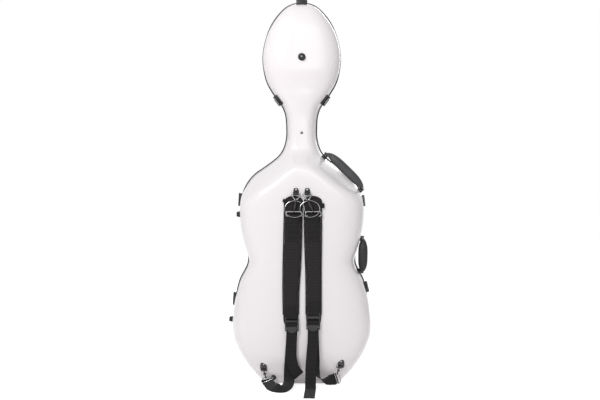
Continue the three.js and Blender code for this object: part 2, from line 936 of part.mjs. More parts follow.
// The snap hook between two wires, both across its group
function hookSolid(length) {
  const loopAt = (z) => {
    const points = roundedLoop(
      at(0, 0, z),
      ahead,
      upward,
      hookHalfWidth,
      hookHalfLength,
      hookHalfWidth,
    );
    return solidOf(wireLoop(points, right, hookWire, hookSides));
  };
  const off = wire + hookWire + hangGap;
  const high = off - hookHalfLength;
  const low = -length - off + hookHalfLength;
  const shank = bar(
    at(0, 0, high - hookHalfLength + hookWire / 2),
    at(0, 0, low + hookHalfLength - hookWire / 2),
    hookShank,
    hookShank,
    thinSides,
  );
  return loopAt(high).add(loopAt(low)).add(shank);
}

function hookGroup(from, to) {
  const down = new THREE.Vector3().subVectors(from, to);
  const length = down.length();
  down.normalize();
  const group = new THREE.Group();
  const sideways = new THREE.Vector3().crossVectors(ahead, down);
  const basis = new THREE.Matrix4().makeBasis(sideways, ahead, down);
  group.applyMatrix4(basis.setPosition(from));
  part.add(group);
  return { group, length };
}

const straps = {
  left: {
    bracketX: -19.3,
    ringX: -26.5,
    padTopX: -25,
    padBottomX: -34,
    buckleX: -33,
    buckleDrop: 45,
    lowerPlateX: -128,
    lowerPlateZ: 60,
    lowerEyeX: -127,
    lowerEyeZ: 50,
    ringCenterX: -115,
    ringCenterZ: 15,
    barDirection: at(0.93, 0, 0.37),
    arcDirection: at(-0.37, 0, 0.93),
    hookShares: [0, 1],
  },
  right: {
    bracketX: 18.5,
    ringX: 38,
    padTopX: 38,
    padBottomX: 37,
    buckleX: 38,
    buckleDrop: 39,
    lowerPlateX: 131.5,
    lowerPlateZ: 70,
    lowerEyeX: 126,
    lowerEyeZ: 60.5,
    ringCenterX: 114,
    ringCenterZ: 24,
    barDirection: at(0.33, 0, -0.94),
    arcDirection: at(0.94, 0, 0.33),
    hookShares: [-0.85, 0.72],
  },
};
const lowerStand = 4.5;
const lowerPlane = plateau - lowerStand;
const lowerRingHalf = 17;
const lowerRingRise = 14;
const lowerPlateHalf = 12;
const lowerPlateRise = 15;
const stapleHalf = 9;

// The lower ring, along its bar and up its arc as shares of its half width and its rise
const lowerLoopShares = [
  [-1, 0],
  [1, 0],
  [1.1, 0.4],
  [0.75, 0.85],
  [0.25, 1],
  [-0.25, 1],
  [-0.75, 0.85],
  [-1.1, 0.4],
];

for (const [side, s] of Object.entries(straps)) {
  // Bracket with its rivet and the tunnel that holds the ring
  const plate = block(
    s.bracketX - bracketHalf,
    s.bracketX + bracketHalf,
    plateau - bracketThick,
    plateau + overrun,
    bracketHigh - tunnelRadius,
    bracketTop,
  );
  const post = block(
    s.bracketX - tunnelHalf,
    s.bracketX + tunnelHalf,
    ringPlane,
    plateau,
    bracketHigh - tunnelRadius,
    bracketHigh + tunnelRadius,
  );
  const tunnel = (half, radius) =>
    bar(
      at(s.bracketX - half, ringPlane, bracketHigh),
      at(s.bracketX + half, ringPlane, bracketHigh),
      radius,
    );
  const rivet = bar(
    at(s.bracketX, plateau, rivetHeight),
    at(s.bracketX, plateau - bracketThick - rivetReach, rivetHeight),
    rivetRadius,
    rivetRadius / 2,
  );
  const bracket = plate
    .add(post)
    .add(tunnel(tunnelHalf, tunnelRadius))
    .add(rivet)
    .subtract(tunnel(2 * tunnelHalf, wire + tunnelPlay))
    .subtract(backBody);
  addSolid(part, `strap_bracket_${side}`, bracket, blackMetal);

  // Triangular ring
  const ringAt = (x, z) => at(s.bracketX + x, ringPlane, z);
  const triangle = [
    ringAt(-ringHalf, bracketHigh),
    ringAt(ringHalf, bracketHigh),
    ringAt(ringHalf + ringFlare, bracketHigh - ringRise),
    ringAt(ringHalf / 4, apexHeight),
    ringAt(-ringHalf / 4, apexHeight),
    ringAt(-ringHalf - ringFlare, bracketHigh - ringRise),
  ];
  addMesh(part, `strap_ring_${side}`, wireLoop(triangle, ahead, wire), chrome);

  // Snap hook and wide ring
  const upper = hookGroup(
    at(s.bracketX, ringPlane, apexHeight),
    at(s.ringX, ringPlane, wideRingTop),
  );
  addSolid(upper.group, `strap_hook_${side}`, hookSolid(upper.length), greyMetal);
  const wide = roundedLoop(
    at(s.ringX, ringPlane, (wideRingTop + wideRingBottom) / 2),
    right,
    upward,
    wideRingHalf,
    (wideRingTop - wideRingBottom) / 2,
    wideCorner,
  );
  addMesh(part, `pad_ring_${side}`, wireLoop(wide, ahead, wideWire), chrome);

  // Padded strap with the sleeves that hold the wide ring and the buckle
  const padShare = (z) => (padTop - z) / (padTop - padBottom);
  const padX = (z) => s.padTopX + (s.padBottomX - s.padTopX) * padShare(z);
  const padBack = plateau - padGap;
  const rings = [];
  for (let k = 0; k <= padSteps; k += 1) {
    const share = (1 - Math.cos((Math.PI * k) / padSteps)) / 2;
    const z = padTop + (padBottom - padTop) * share;
    const end = Math.min(share, 1 - share) / padRoundShare;
    const half = padHalf * Math.sqrt(1 - (1 - Math.min(Math.max(end, padTipShare), 1)) ** 2);
    const fat = z > wideRingBottom - padThinReach ? padThin : padThick;
    const center = at(padX(z), padBack - fat / 2, z);
    rings.push(sectionRing(center, right, ahead, half, fat / 2, padPower, barSides));
  }
  const buckleZ = padBottom - s.buckleDrop;
  const buckleTop = buckleZ + buckleRises.high;
  const sleeveX = padX(wideRingBottom);
  const ringSleeve = block(
    sleeveX - sleeveHalf,
    sleeveX + sleeveHalf,
    ringPlane - sleeveRise,
    padBack - padSink,
    wideRingBottom - sleeveRise,
    wideRingBottom + sleeveRise,
  );
  const tab = block(
    s.buckleX - webWidth / 2,
    s.buckleX + webWidth / 2,
    padBack - padThin,
    padBack - padSink,
    buckleTop - sleeveRise,
    padBottom + overrun,
  );
  const buckleSleeve = block(
    s.buckleX - webWidth / 2,
    s.buckleX + webWidth / 2,
    bucklePlane - buckleBar - sleeveWall,
    padBack - padSink,
    buckleTop - sleeveRise,
    buckleTop + sleeveRise,
  );
  const bore = (y, z, radius) => bar(at(-boreHalf, y, z), at(boreHalf, y, z), radius);
  const pad = solidOf(ringsGeometry(rings, false))
    .add(tab)
    .add(ringSleeve)
    .add(buckleSleeve)
    .subtract(bore(bucklePlane, buckleTop, buckleBar + tunnelPlay))
    .subtract(bore(ringPlane, wideRingBottom, wideWire + tunnelPlay));
  addSolid(part, `shoulder_pad_${side}`, pad, webbing);

  // Slide buckle
  const crossBar = (rise) =>
    bar(
      at(s.buckleX - buckleHalf + buckleEdge, bucklePlane, buckleZ + rise),
      at(s.buckleX + buckleHalf - buckleEdge, bucklePlane, buckleZ + rise),
      buckleBar,
      buckleBar,
      thinSides,
    );
  const sideBar = (x) =>
    block(
      x - buckleSide / 2,
      x + buckleSide / 2,
      bucklePlane - buckleBar,
      bucklePlane + buckleBar,
      buckleZ - buckleBar,
      buckleTop + buckleBar,
    );
  const buckle = sideBar(s.buckleX - buckleHalf + buckleSide / 2)
    .add(sideBar(s.buckleX + buckleHalf - buckleSide / 2))
    .add(crossBar(buckleRises.high))
    .add(crossBar(buckleRises.middle))
    .add(crossBar(buckleRises.low));
  addSolid(part, `strap_buckle_${side}`, buckle, blackPlastic);

  // Lower bracket with a staple for the hook
  const { lowerPlateX: plateX, lowerPlateZ: plateZ, lowerEyeX: eyeX, lowerEyeZ: eyeZ } = s;
  const skin = backSkin(plateX, plateZ);
  const staple = bar(
    at(eyeX - stapleHalf, lowerPlane, eyeZ),
    at(eyeX + stapleHalf, lowerPlane, eyeZ),
    wire,
    wire,
    thinSides,
  );
  const leg = (x) =>
    block(x - wire, x + wire, lowerPlane - wire, skin + overrun, eyeZ - wire, eyeZ + wire);
  const lowerBracket = block(
    plateX - lowerPlateHalf,
    plateX + lowerPlateHalf,
    skin - bracketThick,
    skin + overrun,
    plateZ - lowerPlateRise,
    plateZ + lowerPlateRise,
  )
    .add(staple)
    .add(leg(eyeX - stapleHalf))
    .add(leg(eyeX + stapleHalf))
    .subtract(backBody);
  addSolid(part, `lower_bracket_${side}`, lowerBracket, blackMetal);

  // Lower ring, its bar carries the webbing and its arc the hook
  const center = at(s.ringCenterX, lowerPlane, s.ringCenterZ);
  const b = s.barDirection.clone().normalize();
  const n = s.arcDirection.clone().normalize();
  const ringPoint = (u, v) =>
    center
      .clone()
      .addScaledVector(b, u * lowerRingHalf)
      .addScaledVector(n, v * lowerRingRise);
  const lowerLoop = lowerLoopShares.map(([u, v]) => ringPoint(u, v));
  const flat = new THREE.Vector3().crossVectors(b, n).normalize();
  addMesh(part, `lower_ring_${side}`, wireLoop(lowerLoop, flat, wire), chrome);
  const lower = hookGroup(at(eyeX, lowerPlane, eyeZ), ringPoint(...s.hookShares));
  addSolid(lower.group, `lower_hook_${side}`, hookSolid(lower.length), greyMetal);
}

// Webbing routes: from the end sewn round the lower ring, up behind the buckle, over its
// middle bar and down in front as the free tail. A row holds a place and a width direction.
// Places are shares: of the ring about its centre for the sewn end, of the way to the buckle,
// of the reach and the rise of the loose loop, of the buckle's height for the riser and the
// tail, and of the bar with the webbing on it for the wrap.
const loopReach = 85;
const loopRise = 20;
const routeShares = {
  left: {
    sewn: [
      [-0.1176, -0.2941, 0.3235, 0.93, 0, 0.37],
      [-0.0588, -0.2706, 0.0588, 0.93, 0, 0.37],
      [0.0824, 0, -0.2353, 0.93, 0, 0.37],
      [0.1588, 0.3176, -0.1471, 0.93, 0, 0.37],
    ],
    loop: [
      [0.0854, 0.3588, 0.65, 0.9, 0.2, 0.4],
      [0.2073, 0.7941, 0.55, 0.72, 0.4, 0.57],
      [0.4024, 1.1118, 0.525, 0.25, 0.75, 0.6],
      [0.6098, 1.1588, 0.45, -0.25, 0.85, 0.45],
      [0.7805, 0.9706, 0.6, -0.85, 0.4, 0.25],
      [0.8659, 0.6412, 0.8, -0.97, 0.15, 0.1],
      [0.8902, 0.3353, 1.1, -1, 0.04, 0],
      [0.8902, 0.1471, 1.7, -1, 0, 0],
    ],
    riser: [
      [0.9024, 0.7558, 0.2829, -1, 0, 0],
      [0.939, 0.5, 0.4878, -1, 0, 0],
      [0.9878, 0.5465, 0.8049, -1, 0, 0],
      [1, 0.593, 0.9561, -1, 0, 0],
    ],
    wrap: [
      [0, -0.6944, 0.4167, -1, 0, 0],
      [0, -0, 0.9444, -1, 0, 0],
      [0, 0.6944, 0.4167, -1, 0, 0],
    ],
    tail: [
      [0, 0.1424, 1.0761, -1, 0, 0],
      [0, 0.1471, 1, -1, 0, 0],
      [-0.0244, 0.1529, 0.7065, -1, 0, 0],
      [-0.0244, 0.1706, 0.5109, -0.97, 0, -0.2],
      [0.0488, 0.2059, 0.3696, -0.85, 0, -0.52],
      [0.1707, 0.2412, 0.2717, -0.8, 0, -0.6],
      [0.3049, 0.2647, 0.2011, -0.8, 0, -0.6],
    ],
  },
  right: {
    sewn: [
      [0.2765, -0.2941, 0.0971, 0.33, 0, -0.94],
      [0.0553, -0.2706, 0.0194, 0.33, 0, -0.94],
      [-0.2294, 0, -0.0824, 0.33, 0, -0.94],
      [-0.2765, 0.2941, -0.0971, 0.33, 0, -0.94],
    ],
    loop: [
      [0.1806, 0.1471, 1.1, 0.3, 0.15, -0.94],
      [0.4167, 0.2647, 1.1, 0.12, 0.6, -0.78],
      [0.6667, 0.2882, 1.35, 0.05, 0.97, -0.2],
    ],
    riser: [
      [0.8611, 2.2674, 0.237, 0.6, 0.78, 0.05],
      [0.9444, 1.5698, 0.4028, 0.95, 0.3, 0],
      [0.9722, 0.9884, 0.5687, 1, 0, 0],
      [0.9861, 0.6977, 0.7109, 1, 0, 0],
      [1, 0.5581, 0.8341, 1, 0, 0],
      [1, 0.593, 0.9573, 1, 0, 0],
    ],
    wrap: [
      [0, -0.6944, 0.4167, 1, 0, 0],
      [0, -0, 0.9444, 1, 0, 0],
      [0, 0.6944, 0.4167, 1, 0, 0],
    ],
    tail: [
      [-0, 0.1424, 1.0737, 1, 0, 0],
      [-0, 0.1529, 1, 1, 0, 0],
      [0.0139, 0.2412, 0.7895, 1, 0, 0],
      [0.0694, 0.4059, 0.5789, 1, 0, 0],
      [0.1111, 0.5, 0.3684, 1, 0, 0],
      [0.125, 0.5471, 0.1789, 1, 0, 0],
      [0.1319, 0.6176, 0.0632, 1, 0, 0],
      [0.1389, 0.8059, 0.0158, 1, 0, 0],
      [0.1597, 1.1471, 0.0079, 1, 0, 0],
      [0.1875, 1.6765, 0.0079, 1, 0, 0],
      [0.2222, 2.2647, 0.0079, 1, 0, 0],
    ],
  },
};

function webbingRoute(side) {
  const { ringCenterX: ringX, ringCenterZ: ringZ, buckleX, buckleDrop } = straps[side];
  const way = buckleX - ringX;
  const buckleZ = padBottom - buckleDrop;
  const wrap = buckleBar + webThick;
  const barZ = buckleZ + buckleRises.middle;
  const frames = {
    sewn: [ringX, lowerRingHalf, lowerStand, lowerRingHalf, ringZ, lowerRingHalf],
    loop: [ringX, way, 0, loopReach, 0, loopRise],
    riser: [ringX, way, 0, buckleStand, 0, barZ],
    wrap: [buckleX, wrap, buckleStand, wrap, barZ, wrap],
    tail: [buckleX, way, 0, loopReach, 0, buckleZ],
  };
  return Object.entries(routeShares[side]).flatMap(([name, places]) => {
    const [x0, xUnit, stand, standUnit, z0, zUnit] = frames[name];
    return places.map(([x, out, z, dx, dy, dz]) => [
      at(x0 + x * xUnit, plateau - stand - out * standUnit, z0 + z * zUnit),
      at(dx, dy, dz),
    ]);
  });
}

const ribbonSteps = 54;
for (const side of Object.keys(straps)) {
  const ribbon = ribbonGeometry(webbingRoute(side), webWidth, webThick, ribbonSteps);
  addMesh(part, `strap_webbing_${side}`, ribbon, webbing);
}

// Inside: what carries the instrument's neck and its lower end
const neckRestHalf = 36;
const neckRestRise = 76;
const neckRestFrom = neckScrewShare * caseHeight - neckRestRise / 2;
const neckRestTo = neckRestFrom + neckRestRise;
const neckRestFace = -13;
const neckGroove = 22;
const rest = block(
  -neckRestHalf,
  neckRestHalf,
  -headDepth,
  neckRestFace,
  neckRestFrom,
  neckRestTo,
)
  .intersect(backRoom)
  .subtract(bar(at(0, 0, neckRestFrom - overrun), at(0, 0, neckRestTo + overrun), neckGroove));
addSolid(part, "neck_rest", rest, plush);

const cradleHalf = 112;
const cradleTop = 66;
const cradleFace = -12;
const cradleCurve = 230;
const cradleFloor = 30;
const cradle = block(-cradleHalf, cradleHalf, -backDepth, cradleFace, 0, cradleTop)
  .intersect(backRoom)
  .subtract(
    bar(
      at(0, -2 * backDepth, cradleFloor + cradleCurve),
      at(0, backDepth, cradleFloor + cradleCurve),
      cradleCurve,
      cradleCurve,
      cradleSides,
    ),
  );
addSolid(part, "end_cradle", cradle, plush);

// Bow holder in the lid: a block with a turn clip on a pin
const bowShare = 0.3979;
const bowHeight = bowShare * caseHeight;
const bowBlockHalf = 22;
const bowBlockRise = 9;
const bowBlockDeep = 34;
const bowBlockFace = lidDepth - bowBlockDeep;
const clipPin = 2.4;
const clipPlay = 0.4;
const clipThick = 5;
const clipRoot = 1;
const clipHalf = 26;
const clipRise = 6;
const bowBlock = block(
  -bowBlockHalf,
  bowBlockHalf,
  bowBlockFace,
  lidDepth,
  bowHeight - bowBlockRise,
  bowHeight + bowBlockRise,
)
  .intersect(lidRoom)
  .subtract(
    bar(
      at(0, bowBlockFace - overrun, bowHeight),
      at(0, bowBlockFace + overrun, bowHeight),
      clipPin + clipPlay,
    ),
  );
addSolid(part, "bow_rest", bowBlock, blackPlastic);
const clipBack = bowBlockFace - touchGap;
const clip = block(
  -clipHalf,
  clipHalf,
  clipBack - clipThick,
  clipBack,
  bowHeight - clipRise,
  bowHeight + clipRise,
).add(
  bar(
    at(0, clipBack - clipRoot, bowHeight),
    at(0, bowBlockFace + overrun - clipRoot, bowHeight),
    clipPin,
  ),
);
addSolid(part, "bow_clip", clip, blackPlastic);

export default part;
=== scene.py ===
"""Looks of a hard cello case with a backpack harness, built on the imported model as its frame.

Shapes are worked out in millimetres and become metres when a mesh is made.
"""

from collections import namedtuple
from math import copysign, cos, pi, radians, sin, sqrt

import bmesh
import bpy
import numpy as np
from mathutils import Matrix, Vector


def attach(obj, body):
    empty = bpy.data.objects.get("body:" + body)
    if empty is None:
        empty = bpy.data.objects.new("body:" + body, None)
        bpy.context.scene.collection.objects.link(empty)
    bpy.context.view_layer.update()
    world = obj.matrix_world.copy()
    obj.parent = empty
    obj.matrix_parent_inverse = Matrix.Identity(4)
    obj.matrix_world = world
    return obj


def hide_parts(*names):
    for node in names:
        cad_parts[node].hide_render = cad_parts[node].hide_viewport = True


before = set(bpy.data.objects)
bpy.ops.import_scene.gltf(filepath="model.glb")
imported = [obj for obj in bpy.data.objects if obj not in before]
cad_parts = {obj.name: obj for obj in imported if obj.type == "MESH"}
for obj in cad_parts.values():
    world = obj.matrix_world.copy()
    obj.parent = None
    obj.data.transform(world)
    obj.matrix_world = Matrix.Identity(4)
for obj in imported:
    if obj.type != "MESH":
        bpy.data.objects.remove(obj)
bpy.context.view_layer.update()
MM = 0.001

# ---- Camera and light

PHOTO_WIDTH, FOCAL_PIXELS, SENSOR_WIDTH = 600, 857, 36
VIEW_X, VIEW_DISTANCE, VIEW_HEIGHT = -0.006, 3.0, 0.619
WORLD_LIGHT = 0.36
scene = bpy.context.scene


def added(name, data):
    obj = bpy.data.objects.new(name, data)
    scene.collection.objects.link(obj)
    return obj


def look_at(obj, target):
    obj.rotation_mode = "QUATERNION"
    obj.rotation_quaternion = (Vector(target) - obj.location).to_track_quat("-Z", "Y")


camera_data = bpy.data.cameras.new("camera")
camera_data.sensor_width = SENSOR_WIDTH
camera_data.lens = FOCAL_PIXELS / PHOTO_WIDTH * SENSOR_WIDTH
camera = added("camera", camera_data)
camera.location = (VIEW_X, -VIEW_DISTANCE, VIEW_HEIGHT)
look_at(camera, (VIEW_X, 0, VIEW_HEIGHT))
bpy.context.scene.camera = camera
bpy.context.scene.view_settings.view_transform = "Standard"


def area_light(name, place, target, size, power):
    data = bpy.data.lights.new(name, "AREA")
    data.shape = "RECTANGLE"
    data.size, data.size_y = size
    data.energy = power
    light = added(name, data)
    light.location = place
    look_at(light, target)


area_light("key", (-1.15, -2.2, 2.3), (0, 0, 1.05), (0.8, 0.8), 45)
area_light("front", (0.7, -3.4, 1.8), (0, 0, 0.95), (2.0, 1.4), 14)
area_light("rear", (0.8, 3.0, 2.2), (0, 0, 0.7), (2.2, 2.0), 34)


def seen_rays(tree):
    """1 for rays from the camera, a gloss or a clear piece, 0 for those that light a surface."""
    path = tree.nodes.new("ShaderNodeLightPath")
    total = path.outputs["Is Camera Ray"]
    for name in ("Is Glossy Ray", "Is Transmission Ray"):
        add = tree.nodes.new("ShaderNodeMath")
        add.operation = "MAXIMUM"
        tree.links.new(total, add.inputs[0])
        tree.links.new(path.outputs[name], add.inputs[1])
        total = add.outputs[0]
    return total


world = bpy.data.worlds.new("world")
scene.world = world
world.use_nodes = True
tree = world.node_tree
tree.nodes.clear()
shades = []
for color, strength in (((0.98, 0.985, 1, 1), WORLD_LIGHT), ((1, 1, 1, 1), 1)):
    shade = tree.nodes.new("ShaderNodeBackground")
    shade.inputs["Color"].default_value = color
    shade.inputs["Strength"].default_value = strength
    shades.append(shade)
either = tree.nodes.new("ShaderNodeMixShader")
out = tree.nodes.new("ShaderNodeOutputWorld")
tree.links.new(seen_rays(tree), either.inputs[0])
tree.links.new(shades[0].outputs[0], either.inputs[1])
tree.links.new(shades[1].outputs[0], either.inputs[2])
tree.links.new(either.outputs[0], out.inputs[0])

# ---- Materials


class Paint:
    """A node material, with short ways to add what the finishes here need."""

    def __init__(self, name, color, roughness=0.5, metallic=0.0, **sockets):
        self.material = bpy.data.materials.new(name)
        self.material.use_nodes = True
        self.tree = self.material.node_tree
        self.shader = self.tree.nodes["Principled BSDF"]
        sockets.update(Base_Color=(*color, 1), Roughness=roughness, Metallic=metallic)
        for socket, value in sockets.items():
            self.shader.inputs[socket.replace("_", " ")].default_value = value
        self.height = None

    def node(self, kind, **values):
        made = self.tree.nodes.new("ShaderNode" + kind)
        for key, value in values.items():
            if key in made.inputs:
                made.inputs[key].default_value = value
            else:
                setattr(made, key, value)
        return made

    def link(self, a, b):
        self.tree.links.new(a, b)

    def place(self, use_uv=False):
        return self.node("TexCoord").outputs["UV" if use_uv else "Object"]

    def texture(self, kind, output, place, **values):
        made = self.node("Tex" + kind, **values)
        self.link(place, made.inputs["Vector"])
        return made.outputs[output]

    def noise(self, scale, detail=3.0, stretch=(1, 1, 1)):
        moved = self.node("Mapping", Scale=stretch)
        self.link(self.place(), moved.inputs[0])
        return self.texture("Noise", "Fac", moved.outputs[0], Scale=scale, Detail=detail)

    def voronoi(self, scale, feature="F1"):
        return self.texture("Voronoi", "Distance", self.place(), Scale=scale, feature=feature)

    def wave(self, scale, direction, use_uv, distortion):
        bands = dict(Scale=scale, Distortion=distortion, bands_direction=direction)
        return self.texture("Wave", "Fac", self.place(use_uv), **bands)

    def math(self, operation, a, b):
        made = self.node("Math", operation=operation)
        for socket, value in zip(made.inputs, (a, b)):
            if isinstance(value, (int, float)):
                socket.default_value = value
            else:
                self.link(value, socket)
        return made.outputs[0]

    def ramp(self, value, low, high, to_low=0.0, to_high=1.0):
        ends = {"From Min": low, "From Max": high, "To Min": to_low, "To Max": to_high}
        made = self.node("MapRange", **ends)
        self.link(value, made.inputs["Value"])
        return made.outputs[0]

    def tint(self, factor, other):
        """Colours between what is there and another colour."""
        mix = self.node("Mix", data_type="RGBA")
        entry = self.shader.inputs["Base Color"]
        if entry.is_linked:
            self.link(entry.links[0].from_socket, mix.inputs[6])
        else:
            mix.inputs[6].default_value = entry.default_value
        mix.inputs[7].default_value = (*other, 1)
        self.link(factor, mix.inputs[0])
        self.link(mix.outputs[2], entry)

    def rough(self, factor, low, high):
        self.link(self.ramp(factor, 0, 1, low, high), self.shader.inputs["Roughness"])

    def bump(self, height, distance, strength):
        made = self.node("Bump", Strength=strength, Distance=distance)
        self.link(height, made.inputs["Height"])
        if self.height:
            self.link(self.height, made.inputs["Normal"])
        self.height = made.outputs[0]
        self.link(self.height, self.shader.inputs["Normal"])


def pearl_paint():
    p = Paint("pearl_gloss", (0.889, 0.852, 0.86), 0.34, Coat_Weight=0.7, Coat_Roughness=0.18)
    p.tint(p.ramp(p.noise(2.2, 2), 0.42, 0.62), (0.893, 0.842, 0.848))
    p.tint(p.ramp(p.voronoi(1400), 0.0, 0.55, 0.35, 0), (0.945, 0.918, 0.924))
    p.rough(p.noise(70, 4), 0.26, 0.34)
    p.bump(p.noise(260, 2), 0.00012, 0.25)
    return p.material


def rubber_paint(name, color, scale=500):
    p = Paint(name, color, 0.62, Specular_IOR_Level=0.35)
    p.tint(p.ramp(p.noise(60, 4), 0.45, 0.75), tuple(3.2 * c for c in color))
    p.rough(p.noise(150), 0.5, 0.75)
    p.bump(p.noise(scale, 4), 0.0003, 0.5)
    return p.material


def metal_paint(name, color, roughness, metallic, grain):
    p = Paint(name, color, roughness, metallic)
    streak = p.noise(grain, 3, (1, 8, 1))
    p.tint(p.ramp(streak, 0.4, 0.7, 0, 0.45), tuple(min(1.0, 1.7 * c + 0.01) for c in color))
    p.rough(streak, roughness * 0.75, roughness * 1.35)
    p.bump(p.noise(grain * 3, 2), 0.00008, 0.3)
    return p.material


def leather_paint(name, color):
    p = Paint(name, color, 0.5, Specular_IOR_Level=0.45)
    creases = p.voronoi(420, "SMOOTH_F1")
    p.tint(p.ramp(p.noise(30, 4), 0.4, 0.7, 0, 0.6), tuple(1.6 * c for c in color))
    p.rough(creases, 0.42, 0.66)
    p.bump(creases, 0.0006, 0.55)
    p.bump(p.noise(900, 2), 0.0002, 0.4)
    return p.material


def weave_paint(name, color, pitch, use_uv):
    """Plain weave, whose threads are pitch metres apart along and across."""
    p = Paint(name, color, 0.85, Sheen_Weight=0.08, Sheen_Roughness=0.5, Specular_IOR_Level=0.3)
    across, along = ("X", "Y") if use_uv else ("X", "Z")
    scale = 1 / (pitch * 10)
    warp = p.wave(scale, across, use_uv, 0.4)
    weft = p.wave(scale * 0.5, along, use_uv, 0.4)
    threads = p.math("MULTIPLY", warp, weft)
    p.tint(p.ramp(threads, 0.1, 0.9, 0, 0.7), tuple(1.9 * c + 0.002 for c in color))
    p.tint(p.ramp(p.noise(12, 4), 0.5, 0.8, 0, 0.35), tuple(0.6 * c for c in color))
    p.bump(threads, 0.0005, 0.8)
    p.bump(p.noise(45, 3), 0.0015, 0.25)
    return p.material


def plush_paint():
    p = Paint("plush_pile", (0.016, 0.017, 0.024), 0.95, Sheen_Weight=0.8, Sheen_Roughness=0.35)
    p.tint(p.ramp(p.noise(16, 5), 0.4, 0.65, 0, 0.8), (0.036, 0.038, 0.05))
    p.tint(p.ramp(p.noise(900, 2), 0.45, 0.7, 0, 0.6), (0.05, 0.052, 0.065))
    p.bump(p.noise(1100, 3), 0.0012, 0.8)
    p.bump(p.noise(24, 4), 0.004, 0.25)
    return p.material


def plastic_paint():
    p = Paint("moulded_black", (0.013, 0.013, 0.0135), 0.45)
    p.tint(p.ramp(p.noise(40, 3), 0.45, 0.75, 0, 0.6), (0.028, 0.028, 0.029))
    p.rough(p.noise(220, 3), 0.36, 0.56)
    p.bump(p.noise(1500, 2), 0.00015, 0.5)
    return p.material


Finish = namedtuple("Finish", "slot material")
PEARL = Finish("pearl_shell", pearl_paint())
GASKET = Finish("seam_rubber", rubber_paint("gasket_rubber", (0.012, 0.012, 0.013)))
RUBBER = Finish("foot_rubber", rubber_paint("foot_rubber", (0.01, 0.01, 0.011), 800))
PLUSH = Finish("plush", plush_paint())
SATIN = metal_paint("satin_black_metal", (0.018, 0.018, 0.019), 0.38, 0.6, 240)
BLACK = Finish("black_metal", SATIN)
GUN = Finish("grey_metal", metal_paint("gunmetal", (0.15, 0.15, 0.157), 0.32, 1.0, 420))
DARK_GUN = Finish("grey_metal", metal_paint("dark_gunmetal", (0.05, 0.047, 0.05), 0.24, 0.9, 420))
CHROME = Finish("chrome_wire", metal_paint("polished_wire", (0.3, 0.3, 0.31), 0.16, 1.0, 300))
GREY_LEATHER = Finish("grey_leather", leather_paint("grey_leather", (0.043, 0.041, 0.044)))
BLACK_LEATHER = Finish("black_leather", leather_paint("black_leather", (0.0075, 0.007, 0.0073)))
PAD = Finish("pad_fabric", weave_paint("pad_weave", (0.0135, 0.0106, 0.011), 0.0016, False))
WEB = Finish("webbing", weave_paint("webbing_weave", (0.007, 0.006, 0.0064), 0.0024, True))
BINDING = Finish("pad_fabric", weave_paint("binding_weave", (0.0085, 0.0075, 0.008), 0.0011, False))
THREAD = weave_paint("sewing_thread", (0.03, 0.028, 0.029), 0.0008, False)
PLASTIC = Finish("black_plastic", plastic_paint())

# ---- Meshes


def placed(shape, place):
    verts, faces = shape
    full = np.c_[verts, np.ones(len(verts))] @ np.array(place, float).T
    return full[:, :3], faces


def joined(shapes, place=None):
    """One shape from several, set in a frame if there is one."""
    verts, faces, count = [], [], 0
    for v, f in shapes:
        verts.append(np.asarray(v, float))
        faces += [tuple(i + count for i in face) for face in f]
        count += len(v)
    shape = np.vstack(verts), faces
    return shape if place is None else placed(shape, place)


def from_bmesh(bm):
    bm.verts.index_update()
    shape = np.array([v.co for v in bm.verts]), [tuple(v.index for v in f.verts) for f in bm.faces]
    bm.free()
    return shape


def rounded(bm, edges, radius):
    bmesh.ops.bevel(bm, geom=edges, offset=radius, segments=2, profile=0.5, affect="EDGES")
    return from_bmesh(bm)


def soft_box(x0, x1, y0, y1, z0, z1, radius):
    """A box with rounded edges."""
    bm = bmesh.new()
    bmesh.ops.create_cube(bm, size=1)
    spans = ((x0, x1), (y0, y1), (z0, z1))
    for v in bm.verts:
        v.co = [(low + high) / 2 + at * (high - low) for (low, high), at in zip(spans, v.co)]
    return rounded(bm, bm.edges[:], radius)


def soft_plate(outline, thick, radius):
    """A flat plate in x and y, from z 0 up, with the edges of its two faces rounded."""
    bm = bmesh.new()
    face = bm.faces.new([bm.verts.new((x, y, 0)) for x, y in outline])
    up = bmesh.ops.extrude_face_region(bm, geom=[face])["geom"]
    for v in up:
        if isinstance(v, bmesh.types.BMVert):
            v.co.z = thick
    bmesh.ops.recalc_face_normals(bm, faces=bm.faces[:])
    level = [e for e in bm.edges if abs(e.verts[0].co.z - e.verts[1].co.z) < 1e-6]
    return rounded(bm, level, radius)


def grid_faces(rows, columns, wrap_rows=False, wrap_columns=False):
    faces = []
    for i in range(rows if wrap_rows else rows - 1):
        for j in range(columns if wrap_columns else columns - 1):
            a, b = i * columns, (i + 1) % rows * columns
            k = (j + 1) % columns
            faces.append((a + j, b + j, b + k, a + k))
    return faces


def lofted(lines, closed=False):
    """A rod, or a closed loop, from lines that run along it side by side."""
    sides, count = len(lines), len(lines[0])
    faces = grid_faces(count, sides, closed, True)
    if not closed:
        faces += [tuple(range(sides))[::-1], tuple(range((count - 1) * sides, count * sides))]
    return np.stack(lines, 1).reshape(-1, 3), faces


def unit(vectors):
    return vectors / np.linalg.norm(vectors, axis=-1, keepdims=True)


def distances(line):
    """How far along a line each of its points is."""
    return np.r_[0, np.cumsum(np.linalg.norm(np.diff(line, axis=0), axis=1))]


def around(count):
    return np.linspace(0, 2 * pi, count, endpoint=False)


def mirrored(half, middle=0):
    """A whole outline from its right half, given from the foot up; it starts at the left foot."""
    left = [(2 * middle - x, y) for x, y in half[::-1]]
    return left[-1:] + half + left[:-1]


